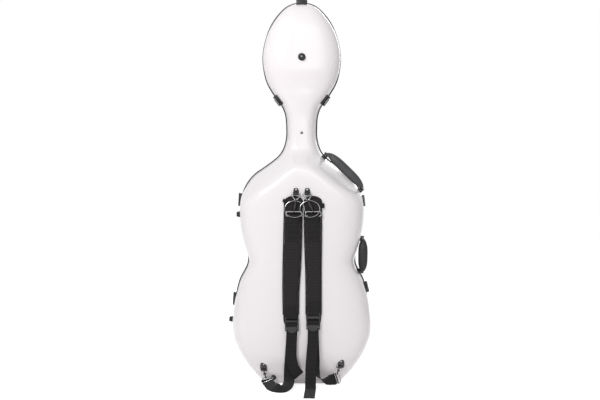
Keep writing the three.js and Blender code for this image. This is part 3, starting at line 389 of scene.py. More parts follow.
def turned(profile, base, axis, sides):
    """A turned solid from (radius, height) pairs, standing on a base point along an axis."""
    base, axis = np.array(base, float), Vector(axis).normalized()
    spin = np.array(axis.to_track_quat("Z", "Y").to_matrix())
    angle = around(sides)
    rows = [np.c_[r * np.cos(angle), r * np.sin(angle), np.full(sides, h)] for r, h in profile]
    return np.vstack(rows) @ spin.T + base, grid_faces(len(rows), sides, False, True)


def pin(p0, p1, radius, edge=0.5, sides=28):
    """A round pin between two points, its ends rounded off."""
    p0, p1 = np.array(p0, float), np.array(p1, float)
    long = float(np.linalg.norm(p1 - p0))
    low, high = radius - edge, long - edge
    half = edge * (1 - sqrt(0.5))
    profile = [(0, 0), (low, 0), (radius - half, half), (radius, edge)]
    profile += [(radius, high), (radius - half, long - half), (low, long), (0, long)]
    return turned(profile, p0, p1 - p0, sides)


def carried(points, closed, up):
    """Two directions across a line at each of its points, turned as little as can be."""
    along = np.gradient(points, axis=0)
    if closed:
        along = np.roll(points, -1, 0) - np.roll(points, 1, 0)
    along = unit(along)
    u = np.array(up, float)
    sides = []
    for a in along:
        u = unit(u - a * (u @ a))
        sides.append(u)
    sides = np.array(sides)
    return sides, np.cross(along, sides)


def tube(points, radius, closed=False, sides=14, up=(0, 1, 0)):
    """Round wire along points; radius is a number or one for each point."""
    points = np.asarray(points, float)
    u, v = carried(points, closed, up)
    radius = np.broadcast_to(radius, len(points))[:, None]
    lines = [points + radius * (u * cos(a) + v * sin(a)) for a in around(sides)]
    return lofted(lines, closed)


def smooth_line(points, steps=12, closed=False):
    """A centripetal Catmull-Rom curve through points."""
    p = np.asarray(points, float)
    ends = (p[-1:], p[:2]) if closed else ([2 * p[0] - p[1]], [2 * p[-1] - p[-2]])
    p = np.vstack([ends[0], p, ends[1]])
    t = np.linspace(0, 1, steps, endpoint=False)[:, None]
    line = []
    for p0, p1, p2, p3 in zip(p, p[1:], p[2:], p[3:]):
        spans = ((p0, p1), (p1, p2), (p2, p3))
        d0, d1, d2 = (max(np.linalg.norm(b - a) ** 0.5, 1e-6) for a, b in spans)
        m1 = d1 * ((p1 - p0) / d0 - (p2 - p0) / (d0 + d1) + (p2 - p1) / d1)
        m2 = d1 * ((p2 - p1) / d1 - (p3 - p1) / (d1 + d2) + (p3 - p2) / d2)
        square, cube = 3 * (p2 - p1) - 2 * m1 - m2, 2 * (p1 - p2) + m1 + m2
        line.append(p1 + m1 * t + square * t**2 + cube * t**3)
    return np.vstack(line if closed else [*line, p[-2:-1]])


def piece(name, shape, finish, node=None, body="case_back", angle=38, uv=None):
    """An object from a shape in millimetres, riding on a body and standing for a CAD node."""
    verts, faces = shape
    mesh = bpy.data.meshes.new(name)
    mesh.from_pydata((np.asarray(verts) * MM).tolist(), [], faces)
    if uv is not None:
        layer = mesh.uv_layers.new(name="UVMap")
        for loop in mesh.loops:
            layer.data[loop.index].uv = uv[loop.vertex_index]
    bm = bmesh.new()
    bm.from_mesh(mesh)
    if uv is None:
        bmesh.ops.remove_doubles(bm, verts=bm.verts[:], dist=2e-6)
    bmesh.ops.recalc_face_normals(bm, faces=bm.faces[:])
    bm.to_mesh(mesh)
    bm.free()
    mesh.shade_smooth()
    mesh.set_sharp_from_angle(angle=radians(angle))
    mesh.materials.append(finish.material)
    obj = added(name, mesh)
    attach(obj, body)
    if node:
        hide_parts(node)
    return obj


# ---- Shells, as the CAD makes them but finer

CASE_HEIGHT, BOUT_WIDTH = 1307, 474
BACK_DEPTH, LID_DEPTH, NECK_DEPTH, HEAD_DEPTH = 135, 138, 50, 72
SHELL_WALL, LINING_THICK, LINING_GAP, SEAM_GAP = 5, 8, 0.5, 5
OUTLINE = np.array([
    (0, 1), (0.19, 0.9916), (0.342, 0.967), (0.464, 0.932), (0.542, 0.887), (0.5654, 0.853),
    (0.548, 0.819), (0.502, 0.787), (0.397, 0.7536), (0.27, 0.7207), (0.228, 0.6985),
    (0.213, 0.662), (0.217, 0.64), (0.253, 0.613), (0.325, 0.5914), (0.536, 0.5608),
    (0.675, 0.5432), (0.76, 0.527), (0.823, 0.5088), (0.869, 0.4866), (0.888, 0.459),
    (0.888, 0.4285), (0.869, 0.3994), (0.835, 0.368), (0.793, 0.341), (0.776, 0.32),
    (0.788, 0.303), (0.838, 0.284), (0.894, 0.265), (0.935, 0.241), (0.956, 0.2165),
    (0.985, 0.18), (1, 0.149), (0.988, 0.122), (0.945, 0.098), (0.882, 0.0735),
    (0.79, 0.0475), (0.675, 0.0215), (0.553, 0),
]) * (BOUT_WIDTH / 2, CASE_HEIGHT)
FULLNESS = [(0, 4.6), (0.45, 4.6), (0.53, 3.8), (0.6, 2.7), (1, 2.7)]
LOW_BULGE = [(0, 0.8), (0.21, 0.8), (0.25, -1.6), (0.31, -1.4), (0.345, 1), (0.48, 1)]
BACK_BULGE = LOW_BULGE + [
    (0.525, -1.6), (0.72, -1.4), (0.78, 0), (0.84, 0.6), (0.9, 0.4), (0.96, -1.2), (1, -1.2),
]
LID_BULGE = LOW_BULGE + [
    (0.535, 2.4), (0.6, 2.4), (0.645, 0), (0.72, -0.5), (0.84, 0.6), (0.9, 0.4), (0.96, -0.6),
    (1, -0.6),
]
HEAD = [(0.69, 0), (0.76, 0.45), (0.82, 1), (1, 1)]
BASE = [(0, 0.78), (0.01, 0.87), (0.03, 0.94), (0.08, 1), (1, 1)]
WALL_BULGE, BULGE_RISE, HEAD_DOME = 2.5, 14, 95
SHELL_EDGE, LINING_EDGE = 0.9, 2.2
RIDGE_PEAK, RIDGE_HALF_FLAT, RIDGE_FALL = 0.5631 * CASE_HEIGHT, 26, 0.75
BEVEL_RUN, RIDGE_SOFT = 55, 14
PLATEAU = -(SEAM_GAP / 2 + BACK_DEPTH)
LINE_STEPS, SEARCH_ROWS, SEAM_ROWS = 60, 2400, 260

half_line = smooth_line(np.vstack([OUTLINE[1] * (-1, 1), OUTLINE]), LINE_STEPS)[LINE_STEPS:]


def eased(table, at):
    xs, ys = np.array(table, float).T
    at = np.clip(at, xs[0], xs[-1])
    k = np.clip(np.searchsorted(xs, at, side="left"), 1, len(xs) - 1)
    t = (at - xs[k - 1]) / (xs[k] - xs[k - 1])
    return ys[k - 1] + (ys[k] - ys[k - 1]) * t * t * (3 - 2 * t)


def outline_rows(count):
    """Evenly spaced places on the right half of the seam, from the head's top to the base."""
    step = distances(half_line)
    want = np.linspace(0, step[-1], count)
    x, z = (np.interp(want, step, half_line[:, i]) for i in (0, 1))
    slope = np.gradient(np.c_[x, z], axis=0)
    slope[0] = (1, 0)
    slope = unit(slope)
    return x, z, -slope[:, 1], slope[:, 0]


def seam_at(z):
    x, zs, nx, nz = outline_rows(SEARCH_ROWS)
    k = int(np.argmin(abs(zs - z)))
    return x[k], zs[k], nx[k], nz[k]


def cap_depth(x, z, body):
    rise = z / CASE_HEIGHT
    soft_max = lambda a, b, s: (a + b + np.hypot(a - b, s)) / 2
    neck = NECK_DEPTH + (HEAD_DEPTH - NECK_DEPTH) * eased(HEAD, rise)
    beside = abs(x) - RIDGE_HALF_FLAT
    past = soft_max(beside, 0, RIDGE_SOFT)
    lean = np.hypot(1, RIDGE_FALL * (1 + beside / np.hypot(beside, RIDGE_SOFT)) / 2)
    fall = (body - NECK_DEPTH) * (z - (RIDGE_PEAK - RIDGE_FALL * past)) / (BEVEL_RUN * lean)
    full = body * eased(BASE, rise)
    return -soft_max(-full, -soft_max(neck, body - fall, RIDGE_SOFT), RIDGE_SOFT)


def skin(body, inset, facing, rows, columns):
    """Points of one shell surface, inset inside the outer one, as rows by columns by xyz."""
    x, z, nx, nz = outline_rows(rows)
    turn = np.linspace(0, pi, columns)
    rise = np.clip(z / CASE_HEIGHT, 0, 1)[:, None]
    station = z[:, None]
    half, level = x - inset * nx, z - inset * nz
    half[-1] += (inset - level[-1]) * -nz[-1] / nx[-1]
    level[-1] = inset
    half[0] = 0
    power = eased(FULLNESS, rise)
    c, s = abs(np.cos(turn)), abs(np.sin(turn))
    s[0] = s[-1] = 0
    reach = (c**power + s**power) ** (1 / power)
    dome = np.sqrt(1 - (1 - np.minimum((CASE_HEIGHT - station) / HEAD_DOME, 1)) ** 2)
    side = np.sign(np.cos(turn)) * c / reach
    depth = s / reach * (cap_depth(side * half[:, None], station, body) - inset) * dome
    swell = WALL_BULGE * eased(BACK_BULGE if facing < 0 else LID_BULGE, rise)
    bulge = swell * np.minimum(depth / BULGE_RISE, 1)
    wide = np.where(half[:, None] == 0, 0, half[:, None] + bulge * nx[:, None])
    lift = bulge * np.maximum(nz, 0)[:, None]
    return np.stack([side * wide, facing * (SEAM_GAP / 2 + depth), level[:, None] + lift], -1)


def cup(body, inset, wall, facing, rows=190, columns=73):
    """A hollow shell with its rim and its flat base."""
    outer, inner = (skin(body, i, facing, rows, columns) for i in (inset, inset + wall))
    cells = rows * columns
    verts = [outer.reshape(-1, 3), inner.reshape(-1, 3)]
    faces = grid_faces(rows, columns)
    faces += [tuple(i + cells for i in f)[::-1] for f in faces]
    for j in (0, columns - 1):
        for i in range(rows - 1):
            a, b = i * columns + j, (i + 1) * columns + j
            faces.append((a, b, b + cells, a + cells))
    share = np.cos(np.linspace(0, pi, columns))[:, None]
    last, foot = cells - columns, 2 * cells
    for surface in (outer, inner):
        edge = np.tile(surface[-1, 0], (columns, 1))
        edge[:, :1] *= share
        verts.append(edge)
    for a, b in ((last, foot), (last + cells, foot + columns), (foot, foot + columns)):
        faces += [(a + j, b + j, b + j + 1, a + j + 1) for j in range(columns - 1)]
    return np.vstack(verts), faces


def applied(obj):
    """Makes what an object's modifiers give its own mesh."""
    graph = bpy.context.evaluated_depsgraph_get()
    made = bpy.data.meshes.new_from_object(obj.evaluated_get(graph))
    obj.modifiers.clear()
    obj.data = made


def softened(obj, width, segments=2):
    """Rounds an object's hard edges, in place."""
    bevel = obj.modifiers.new("edges", "BEVEL")
    bevel.width = width * MM
    bevel.segments = segments
    bevel.limit_method = "ANGLE"
    bevel.angle_limit = radians(50)
    bevel.harden_normals = True
    applied(obj)


SHELLS = (
    ("case_back", "back_shell", "back_lining", BACK_DEPTH, -1),
    ("lid", "front_lid", "lid_lining", LID_DEPTH, 1),
)
for body, shell, _, depth, facing in SHELLS:
    shape = cup(depth, 0, SHELL_WALL, facing)
    softened(piece(f"{shell}_skin", shape, PEARL, shell, body), SHELL_EDGE)
for body, _, lining, depth, facing in SHELLS:
    inset = SHELL_WALL + LINING_GAP
    shape = cup(depth, inset, LINING_THICK, facing, rows=140, columns=57)
    softened(piece(f"{lining}_plush", shape, PLUSH, lining, body), LINING_EDGE, segments=3)


def seam_loop(grow, floor):
    x, z, nx, nz = outline_rows(SEAM_ROWS)
    side, level = x + grow * nx, z + grow * nz
    side[-1] += (floor - level[-1]) * -nz[-1] / nx[-1]
    level[-1] = floor
    side[0] = 0
    right = np.c_[side, np.zeros(SEAM_ROWS), level]
    left = right[1:][::-1] * (-1, 1, 1)
    return np.vstack([right, left])


def gasket():
    """The rubber seam: a ring with a rounded bead outside."""
    half = [(1.4, 2.2), (2.7, 2.0), (3.3, 1.4), (3.6, 0.5)]
    bead = [(grow, -y) for grow, y in half] + half[::-1]
    rings = [seam_loop(grow, 0.4) + (0, y, 0) for grow, y in bead]
    rings += [seam_loop(-7, 10) + (0, y, 0) for y in (2.2, -2.2)]
    return np.vstack(rings), grid_faces(len(rings), len(rings[0]), True, True)


piece("seam_gasket_lip", gasket(), GASKET, "seam_gasket", angle=60)

# ---- Frames of the hardware on the walls

AHEAD = np.array((0.0, 1.0, 0.0))
REARWARD = (0, -1, 0)


def frame_of(x_axis, y_axis, z_axis, origin):
    matrix = np.eye(4)
    for k, column in enumerate((x_axis, y_axis, z_axis, origin)):
        matrix[:3, k] = column
    return matrix


def wall_frame(x, z, normal, y=0):
    normal = unit(np.array(normal))
    return frame_of(np.cross(AHEAD, normal), AHEAD, normal, (x, y, z))


def wall_frame_at(share, side):
    x, z, nx, nz = seam_at(share * CASE_HEIGHT)
    return wall_frame(side * x, z, (side * nx, 0, nz))


def rear_frame(x, y, z):
    """A frame whose x is across the case, y up it and z out of its back."""
    return frame_of((1, 0, 0), (0, 0, 1), REARWARD, (x, y, z))


def back_skin(x, z):
    edge = seam_at(z)[0]
    power = float(eased(FULLNESS, z / CASE_HEIGHT))
    share = (1 - min(abs(x) / edge, 1) ** power) ** (1 / power)
    return -(SEAM_GAP / 2 + share * float(cap_depth(np.array(x), np.array(z), BACK_DEPTH)))


def root_of(node, place):
    """How deep a CAD node reaches in a frame, where it meets the skin, and a little further."""
    verts = np.array([v.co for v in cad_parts[node].data.vertices]) / MM
    local = np.c_[verts, np.ones(len(verts))] @ np.linalg.inv(place).T
    return local[:, 2].min() - 1


# ---- Feet and the neck's screw

SIDE_FEET = (("upper", 0.4361), ("lower", 0.1591))
SIDE_FOOT_BACK, SIDE_FOOT_LIFT, FOOT_SUNK = 38, 1.5, 3
HEAD_FOOT_Z, NECK_SCREW_Z = 0.8477 * CASE_HEIGHT, 0.6503 * CASE_HEIGHT
BACK_FOOT_X, BACK_FOOT_Z = 95, 24
SCREW_HEAD = [(0, -2), (5, -2), (5, 0.5), (4.4, 1.5), (3, 2.2), (1.4, 2.4), (1.4, 1.4), (0, 1.4)]


def foot(name, base, axis, radius, end, reach):
    """A rubber foot: flared base, domed edge and a dished centre for its screw."""
    profile = [
        (0, -FOOT_SUNK), (radius, -FOOT_SUNK), (radius, 0.6), (radius - 0.5, 1.6),
        (end + 0.6, reach - 2.2), (end, reach - 1.2), (end - 0.7, reach - 0.4), (end - 1.9, reach),
        (0.5 * end, reach - 0.1), (0.42 * end, reach - 1.0), (0.38 * end, reach - 2.0),
        (0, reach - 2.0),
    ]
    piece(f"{name}_rubber", turned(profile, base, axis, 48), RUBBER, name)
    head = [(0, 0), (0.34 * end, 0), (0.34 * end, 0.5), (0.24 * end, 0.95), (0, 1.1)]
    seat = np.array(base) + np.array(axis) * (reach - 2.1)
    piece(f"{name}_screw", turned(head, seat, axis, 24), GUN)


for name, share in SIDE_FEET:
    wall = wall_frame_at(share, -1)
    normal = wall[:3, 2]
    base = wall[:3, 3] - SIDE_FOOT_BACK * AHEAD + SIDE_FOOT_LIFT * normal
    foot(f"side_foot_{name}", base, normal, radius=10.5, end=8, reach=12.5)
base = (0, back_skin(0, HEAD_FOOT_Z), HEAD_FOOT_Z)
foot("head_foot", base, REARWARD, radius=13, end=10.5, reach=11)
for side, x in (("left", -BACK_FOOT_X), ("right", BACK_FOOT_X)):
    base = (x, back_skin(x, BACK_FOOT_Z), BACK_FOOT_Z)
    foot(f"back_foot_{side}", base, REARWARD, radius=9.5, end=7.5, reach=9)
screw = turned(SCREW_HEAD, (0, back_skin(0, NECK_SCREW_Z), NECK_SCREW_Z), REARWARD, 32)
piece("neck_screw_head", screw, GUN, "neck_rest_screw")

# ---- Hinges

HINGES = (("upper", 0.4751), ("lower", 0.2104))
HINGE_OUT, LEAF_HALF, KNUCKLE, MIDDLE_HALF, OUTER_FROM = 9, 22, 3.6, 7.4, 7.9
HINGE_RIVET = [(0, 0), (2.6, 0), (2.3, 0.7), (1.2, 1.1), (0, 1.2)]


def hinge_point(share):
    z = share * CASE_HEIGHT
    return np.array((-(seam_at(z)[0] + HINGE_OUT), 0, z))


hinge_line = unit(hinge_point(HINGES[0][1]) - hinge_point(HINGES[1][1]))
for name, share in HINGES:
    place = frame_of(np.cross(AHEAD, hinge_line), AHEAD, hinge_line, hinge_point(share))
    back_parts = [
        soft_box(2.6, 12, -26, -4, -LEAF_HALF, LEAF_HALF, 1.2),
        soft_box(-1.4, 3.2, -6, 0.2, OUTER_FROM, LEAF_HALF, 0.5),
        soft_box(-1.4, 3.2, -6, 0.2, -LEAF_HALF, -OUTER_FROM, 0.5),
        pin((0, 0, 7.8), (0, 0, LEAF_HALF), KNUCKLE),
        pin((0, 0, -LEAF_HALF), (0, 0, -7.8), KNUCKLE),
        pin((0, 0, -23.4), (0, 0, 23.4), 1.7, 0.8),
    ]
    lid_parts = [
        soft_box(2.6, 12, 4, 26, -LEAF_HALF, LEAF_HALF, 1.2),
        soft_box(-1.4, 3.2, -0.2, 6, -MIDDLE_HALF, MIDDLE_HALF, 0.5),
        pin((0, 0, -MIDDLE_HALF), (0, 0, MIDDLE_HALF), KNUCKLE),
    ]
    piece(f"hinge_back_{name}", joined(back_parts, place), BLACK, f"hinge_leaf_back_{name}")
    piece(f"hinge_lid_{name}", joined(lid_parts, place), BLACK, f"hinge_leaf_lid_{name}", "lid")
    for body, y in (("case_back", -15), ("lid", 15)):
        rivets = [turned(HINGE_RIVET, (2.8, y, z), (-1, 0, 0), 20) for z in (-14, 14)]
        piece(f"hinge_rivets_{body}_{name}", joined(rivets, place), GUN, None, body)

# ---- Draw latches

LATCHES = (
    ("head_top", 1, 1), ("head_left", 0.7391, -1), ("head_right", 0.7391, 1),
    ("upper", 0.4713, 1), ("lower", 0.2433, 1),
)
BASE_HALF, EAR_INSIDE, LEVER_HALF, PIN_Y, PIN_Z = 19, 14, 13.5, -24, 7.2
LEVER_SIDE = [
    (-22, 4.9), (12, 4.9), (15.4, 5.2), (17.6, 6.4), (18, 8.6), (17.4, 10.5), (16, 10.5),
    (15.4, 8.6), (13.4, 8), (4, 8.1), (-8, 8.1), (-20, 8.1), (-24, 8.1),
]
LATCH_RIVET = [(0, 0), (2.1, 0), (1.8, 0.6), (0.9, 0.9), (0, 1)]


def swept_profile(outline, x0, x1, radius):
    """A plate along x, whose outline is in y and z."""
    verts, faces = soft_plate(outline, x1 - x0, radius)
    return verts[:, [2, 0, 1]] + (x0, 0, 0), faces


def lever_pin(x0, x1, radius):
    return pin((x0, PIN_Y, PIN_Z), (x1, PIN_Y, PIN_Z), radius)


for name, share, side in LATCHES:
    place = wall_frame_at(share, side)
    root = root_of(f"latch_base_{name}", place)
    ear = mirrored([(-19, root), (-19, 6.5), (-20.2, 8.8), (-22.5, 10)], PIN_Y)
    base_parts = [
        soft_box(-BASE_HALF, BASE_HALF, -32, -7, root, 3.2, 0.8),
        swept_profile(ear, -BASE_HALF, -EAR_INSIDE, 0.5),
        swept_profile(ear, EAR_INSIDE, BASE_HALF, 0.5),
        lever_pin(-19.4, -13.7, 1.9),
        lever_pin(13.7, 19.4, 1.9),
    ]
    lever_parts = [
        swept_profile(LEVER_SIDE, -LEVER_HALF, LEVER_HALF, 0.45),
        lever_pin(-LEVER_HALF, LEVER_HALF, 3.4),
        soft_box(-7.5, 7.5, -14, 8, 7.6, 8.5, 0.4),
    ]
    keeper_root = root_of(f"latch_keeper_{name}", place)
    keeper_parts = [
        soft_box(-LEVER_HALF, LEVER_HALF, 6.5, 15, keeper_root, 3.2, 0.7),
        soft_box(-9, 9, 11.6, 14.4, 2.6, 4.1, 0.5),
    ]
    rivets = [turned(LATCH_RIVET, (x, -11, 3.1), (0, 0, 1), 20) for x in (-15.8, 15.8)]
    arm, catch = joined(lever_parts, place), joined(keeper_parts, place)
    piece(f"latch_plate_{name}", joined(base_parts, place), BLACK, f"latch_base_{name}")
    piece(f"latch_rivets_{name}", joined(rivets, place), GUN)
    piece(f"latch_arm_{name}", arm, GUN, f"latch_lever_{name}", f"latch_{name}")
    piece(f"latch_catch_{name}", catch, GUN, f"latch_keeper_{name}", "lid")

# ---- Carrying handles

HANDLES = (
    ("shoulder", 0.5891, 0.4989, 9, 6, GREY_LEATHER),
    ("waist", 0.3718, 0.2862, 12, -2, BLACK_LEATHER),
)
GRIP_BACK, GRIP_REACH, ARCH_SHARE = 28, 52, 0.55
GRIP_THICK, GRIP_FLAT, GRIP_THIN = 16, 10.5, 4
GRIP_STEPS, GRIP_SIDES, GRIP_SMOOTHING = 97, 40, 6
PINCH_DEEP, PINCH_WIDE, SEWN_ACROSS, SEWN_OUT = 0.1, 0.05, 0.83, 0.585
for name, high, low, lift, lean, leather in HANDLES:
    top, bottom = (np.array(seam_at(share * CASE_HEIGHT)[:2]) for share in (high, low))
    normal = unit(np.array((top[1] - bottom[1], 0, bottom[0] - top[0])))
    x, z = (top + bottom) / 2 + lift * normal[[0, 2]]
    place = wall_frame(x, z, normal, -GRIP_BACK)
    half = np.linalg.norm(bottom - top) / 2
    tilt = radians(lean)
    away = np.array((0, -cos(tilt), sin(tilt)))
    across = np.array((0, sin(tilt), cos(tilt)))
    turn = np.linspace(0, pi, GRIP_STEPS)
    spread = half * np.sign(np.cos(turn)) * abs(np.cos(turn)) ** ARCH_SHARE
    rise = np.sin(turn) ** ARCH_SHARE
    rise[-1] = 0
    line = spread[:, None] * (1, 0, 0) + GRIP_REACH * rise[:, None] * away
    keep = np.r_[True, np.linalg.norm(np.diff(line, axis=0), axis=1) > 0.4]
    line, turn = line[keep], turn[keep]
    for _ in range(GRIP_SMOOTHING):
        line[1:-1] = (line[:-2] + 2 * line[1:-1] + line[2:]) / 4
    along = np.gradient(line, axis=0)
    along[0], along[-1] = away, -away
    outward = np.cross(unit(along), across)
    fat = np.sin(turn)[:, None] ** 2
    wide = GRIP_THIN + (GRIP_THICK - GRIP_THIN) * fat
    flat = GRIP_THIN + (GRIP_FLAT - GRIP_THIN) * fat
    ring = around(GRIP_SIDES)
    pinch = 1 - PINCH_DEEP * np.exp(-((np.abs(np.sin(ring)) - 1) / PINCH_WIDE) ** 2)
    lines = [
        line + outward * flat * cos(a) * k + across * wide * sin(a)
        for a, k in zip(ring, pinch)
    ]
    knobs = [pin((x - 5, 0, 0), (x + 5, 0, 0), 4.6, 0.9) for x in (-half, half)]
    handle = f"{name}_handle"
    piece(f"{name}_handle_grip", joined([lofted(lines), *knobs], place), leather, handle, handle)
    stitches = []
    inner = [k for k in range(len(line)) if fat[k, 0] > 0.35]
    for sign in (-1, 1):
        for facing in (-1, 1):
            edge = line + across * wide * SEWN_ACROSS * sign + outward * facing * (flat * SEWN_OUT)
            for k in range(inner[0], inner[-1], 2):
                stitches.append(tube(edge[k : k + 2], 0.42, False, 6, away))
    sewing = Finish(leather.slot, THREAD)
    piece(f"{name}_handle_stitches", joined(stitches, place), sewing, None, handle)
    for end, x in (("upper", -half), ("lower", half)):
        node = f"{name}_handle_anchor_{end}"
        root = root_of(node, place)
        ear = mirrored([(5.5, root), (5.5, 1.5), (4.6, 4), (2.6, 5.4)])
        parts = [
            soft_box(x - 8.5, x + 8.5, -9, 9, root, -5.3, 1.0),
            swept_profile(ear, x - 8.5, x - 5.5, 0.5),
            swept_profile(ear, x + 5.5, x + 8.5, 0.5),
            pin((x - 9, 0, 0), (x + 9, 0, 0), 2.1, 0.6),
        ]
        piece(f"{name}_anchor_{end}", joined(parts, place), BLACK, node)

# ---- Harness hardware

RING_Y, BUCKLE_Y, LOWER_Y = PLATEAU - 13.5, PLATEAU - 8.6, PLATEAU - 4.5
BRACKET_TOP = 0.5042 * CASE_HEIGHT
HANG_Z = BRACKET_TOP - 19
APEX = HANG_Z - 19.6
WIDE_TOP = APEX - 40.4
WIDE_LOW = WIDE_TOP - 14
PAD_TOP, PAD_LOW = HANG_Z - 8, 0.1752 * CASE_HEIGHT
WIRE, WIDE_WIRE, WEB_WIDTH, WEB_THICK = 1.7, 1.8, 36, 1.8
LOOP_WIDE, LOOP_HIGH, LOOP_WIRE = 33, 27.5, 0.9
D_WIDE, D_DEEP = 17, 14
# Here loop is the small tab's x, z, turn and width, sway how far the thin loop hangs aside,
# and rim how much higher the buckle's top bar sits.
STRAPS = {
    "left": dict(
        bracket=-19.3, ring=-26.5, buckle=(-33, PAD_LOW - 45), plate=(-128, 60),
        eye=(-127, 50), lower=(-115, 15), bar=(0.93, 0, 0.37), arc=(-0.37, 0, 0.93), hook=(0, 1),
        loop=(-57, 616, 155, 11), sway=-5, rim=4, bar_z=(211.6, 217.6),
    ),
    "right": dict(
        bracket=18.5, ring=38, buckle=(38, PAD_LOW - 39), plate=(131.5, 70),
        eye=(126, 60.5), lower=(114, 24), bar=(0.33, 0, -0.94), arc=(0.94, 0, 0.33),
        hook=(-0.85, 0.72), loop=(68.5, 600, 0, 16), sway=8, rim=12, bar_z=(223.8, 231.6),
    ),
}
BRACKET_SIDE = [(10.3, -23), (10.3, -16), (7.9, -3.6), (5.4, -0.4)]
BRACKET_RIVET = [(0, 0), (4, 0), (3.7, 1.1), (2.6, 2.1), (1.2, 2.6), (0, 2.7)]
TRIANGLE = [
    (-13.5, 0), (0, 0), (13.5, 0), (15, -4), (9.5, -12), (3.4, -19.6), (-3.4, -19.6),
    (-9.5, -12), (-15, -4),
]
WIDE_HALF = [(-22, 7), (0, 7), (22, 7), (25, 5.6), (26, 2.6), (26, -2.6), (25, -5.6)]
LOWER_RIVET = [(0, 0), (3, 0), (2.6, 0.9), (1.4, 1.5), (0, 1.6)]
D_SHAPE = [
    (-1, 0), (-0.5, 0), (0, 0), (0.5, 0), (1, 0), (1.1, 0.4), (0.75, 0.85), (0.25, 1),
    (-0.25, 1), (-0.75, 0.85), (-1.1, 0.4),
]


def snap_hook(start, end, bulk):
    """A swivel snap hook between two wires: a closed hook with its gate, a collar and an eye."""
    start, end = np.array(start, float), np.array(end, float)
    down = start - end
    length = float(np.linalg.norm(down))
    down /= length
    place = frame_of(np.cross(AHEAD, down), AHEAD, down, start)
    off = WIRE + 1.6 + 0.4  # from the caught wire's middle to the loop's, with a little play
    high, low = off - 7, 7 - length - off
    angle = around(40)
    across, up = 5 * np.cos(angle), 7.2 * np.sin(angle)
    loops = [np.c_[0 * angle, across, z + up] for z in (high, low)]
    parts = [tube(line, 1.7, True, 12, (1, 0, 0)) for line in loops]
    neck, wide = 3.0 * bulk, 4.0 * bulk
    collar = [
        (0, low + 5.6), (neck, low + 5.6), (wide, low + 6.4), (wide, low + 8), (neck, low + 8.8),
        (neck, high - 9), (wide, high - 8.2), (wide, high - 6.6), (neck, high - 5.8),
        (0, high - 5.8),
    ]
    parts.append(turned(collar, (0, 0, 0), (0, 0, 1), 28))
    gate = [(0, 5.6, high - 6.5), (0, 6.9, high - 4), (0, 7.2, high), (0, 6.7, high + 4)]
    parts.append(tube(smooth_line(gate, 5), 1.1, False, 10, (1, 0, 0)))
    parts.append(soft_box(-1.4, 1.4, -7.8, -5.6, high - 5.6, high - 0.5, 0.5))
    return joined(parts, place)


def strap_piece(side, name, shape, finish, node=None, **more):
    """A piece of the harness, with its side in its name and in its node's."""
    return piece(f"{name}_{side}", shape, finish, node and f"{node}_{side}", **more)


def fuller(value, power=0.7):
    """A sine or cosine to a power, its sign kept, which makes a circle squarer."""
    return copysign(abs(value) ** power, value)


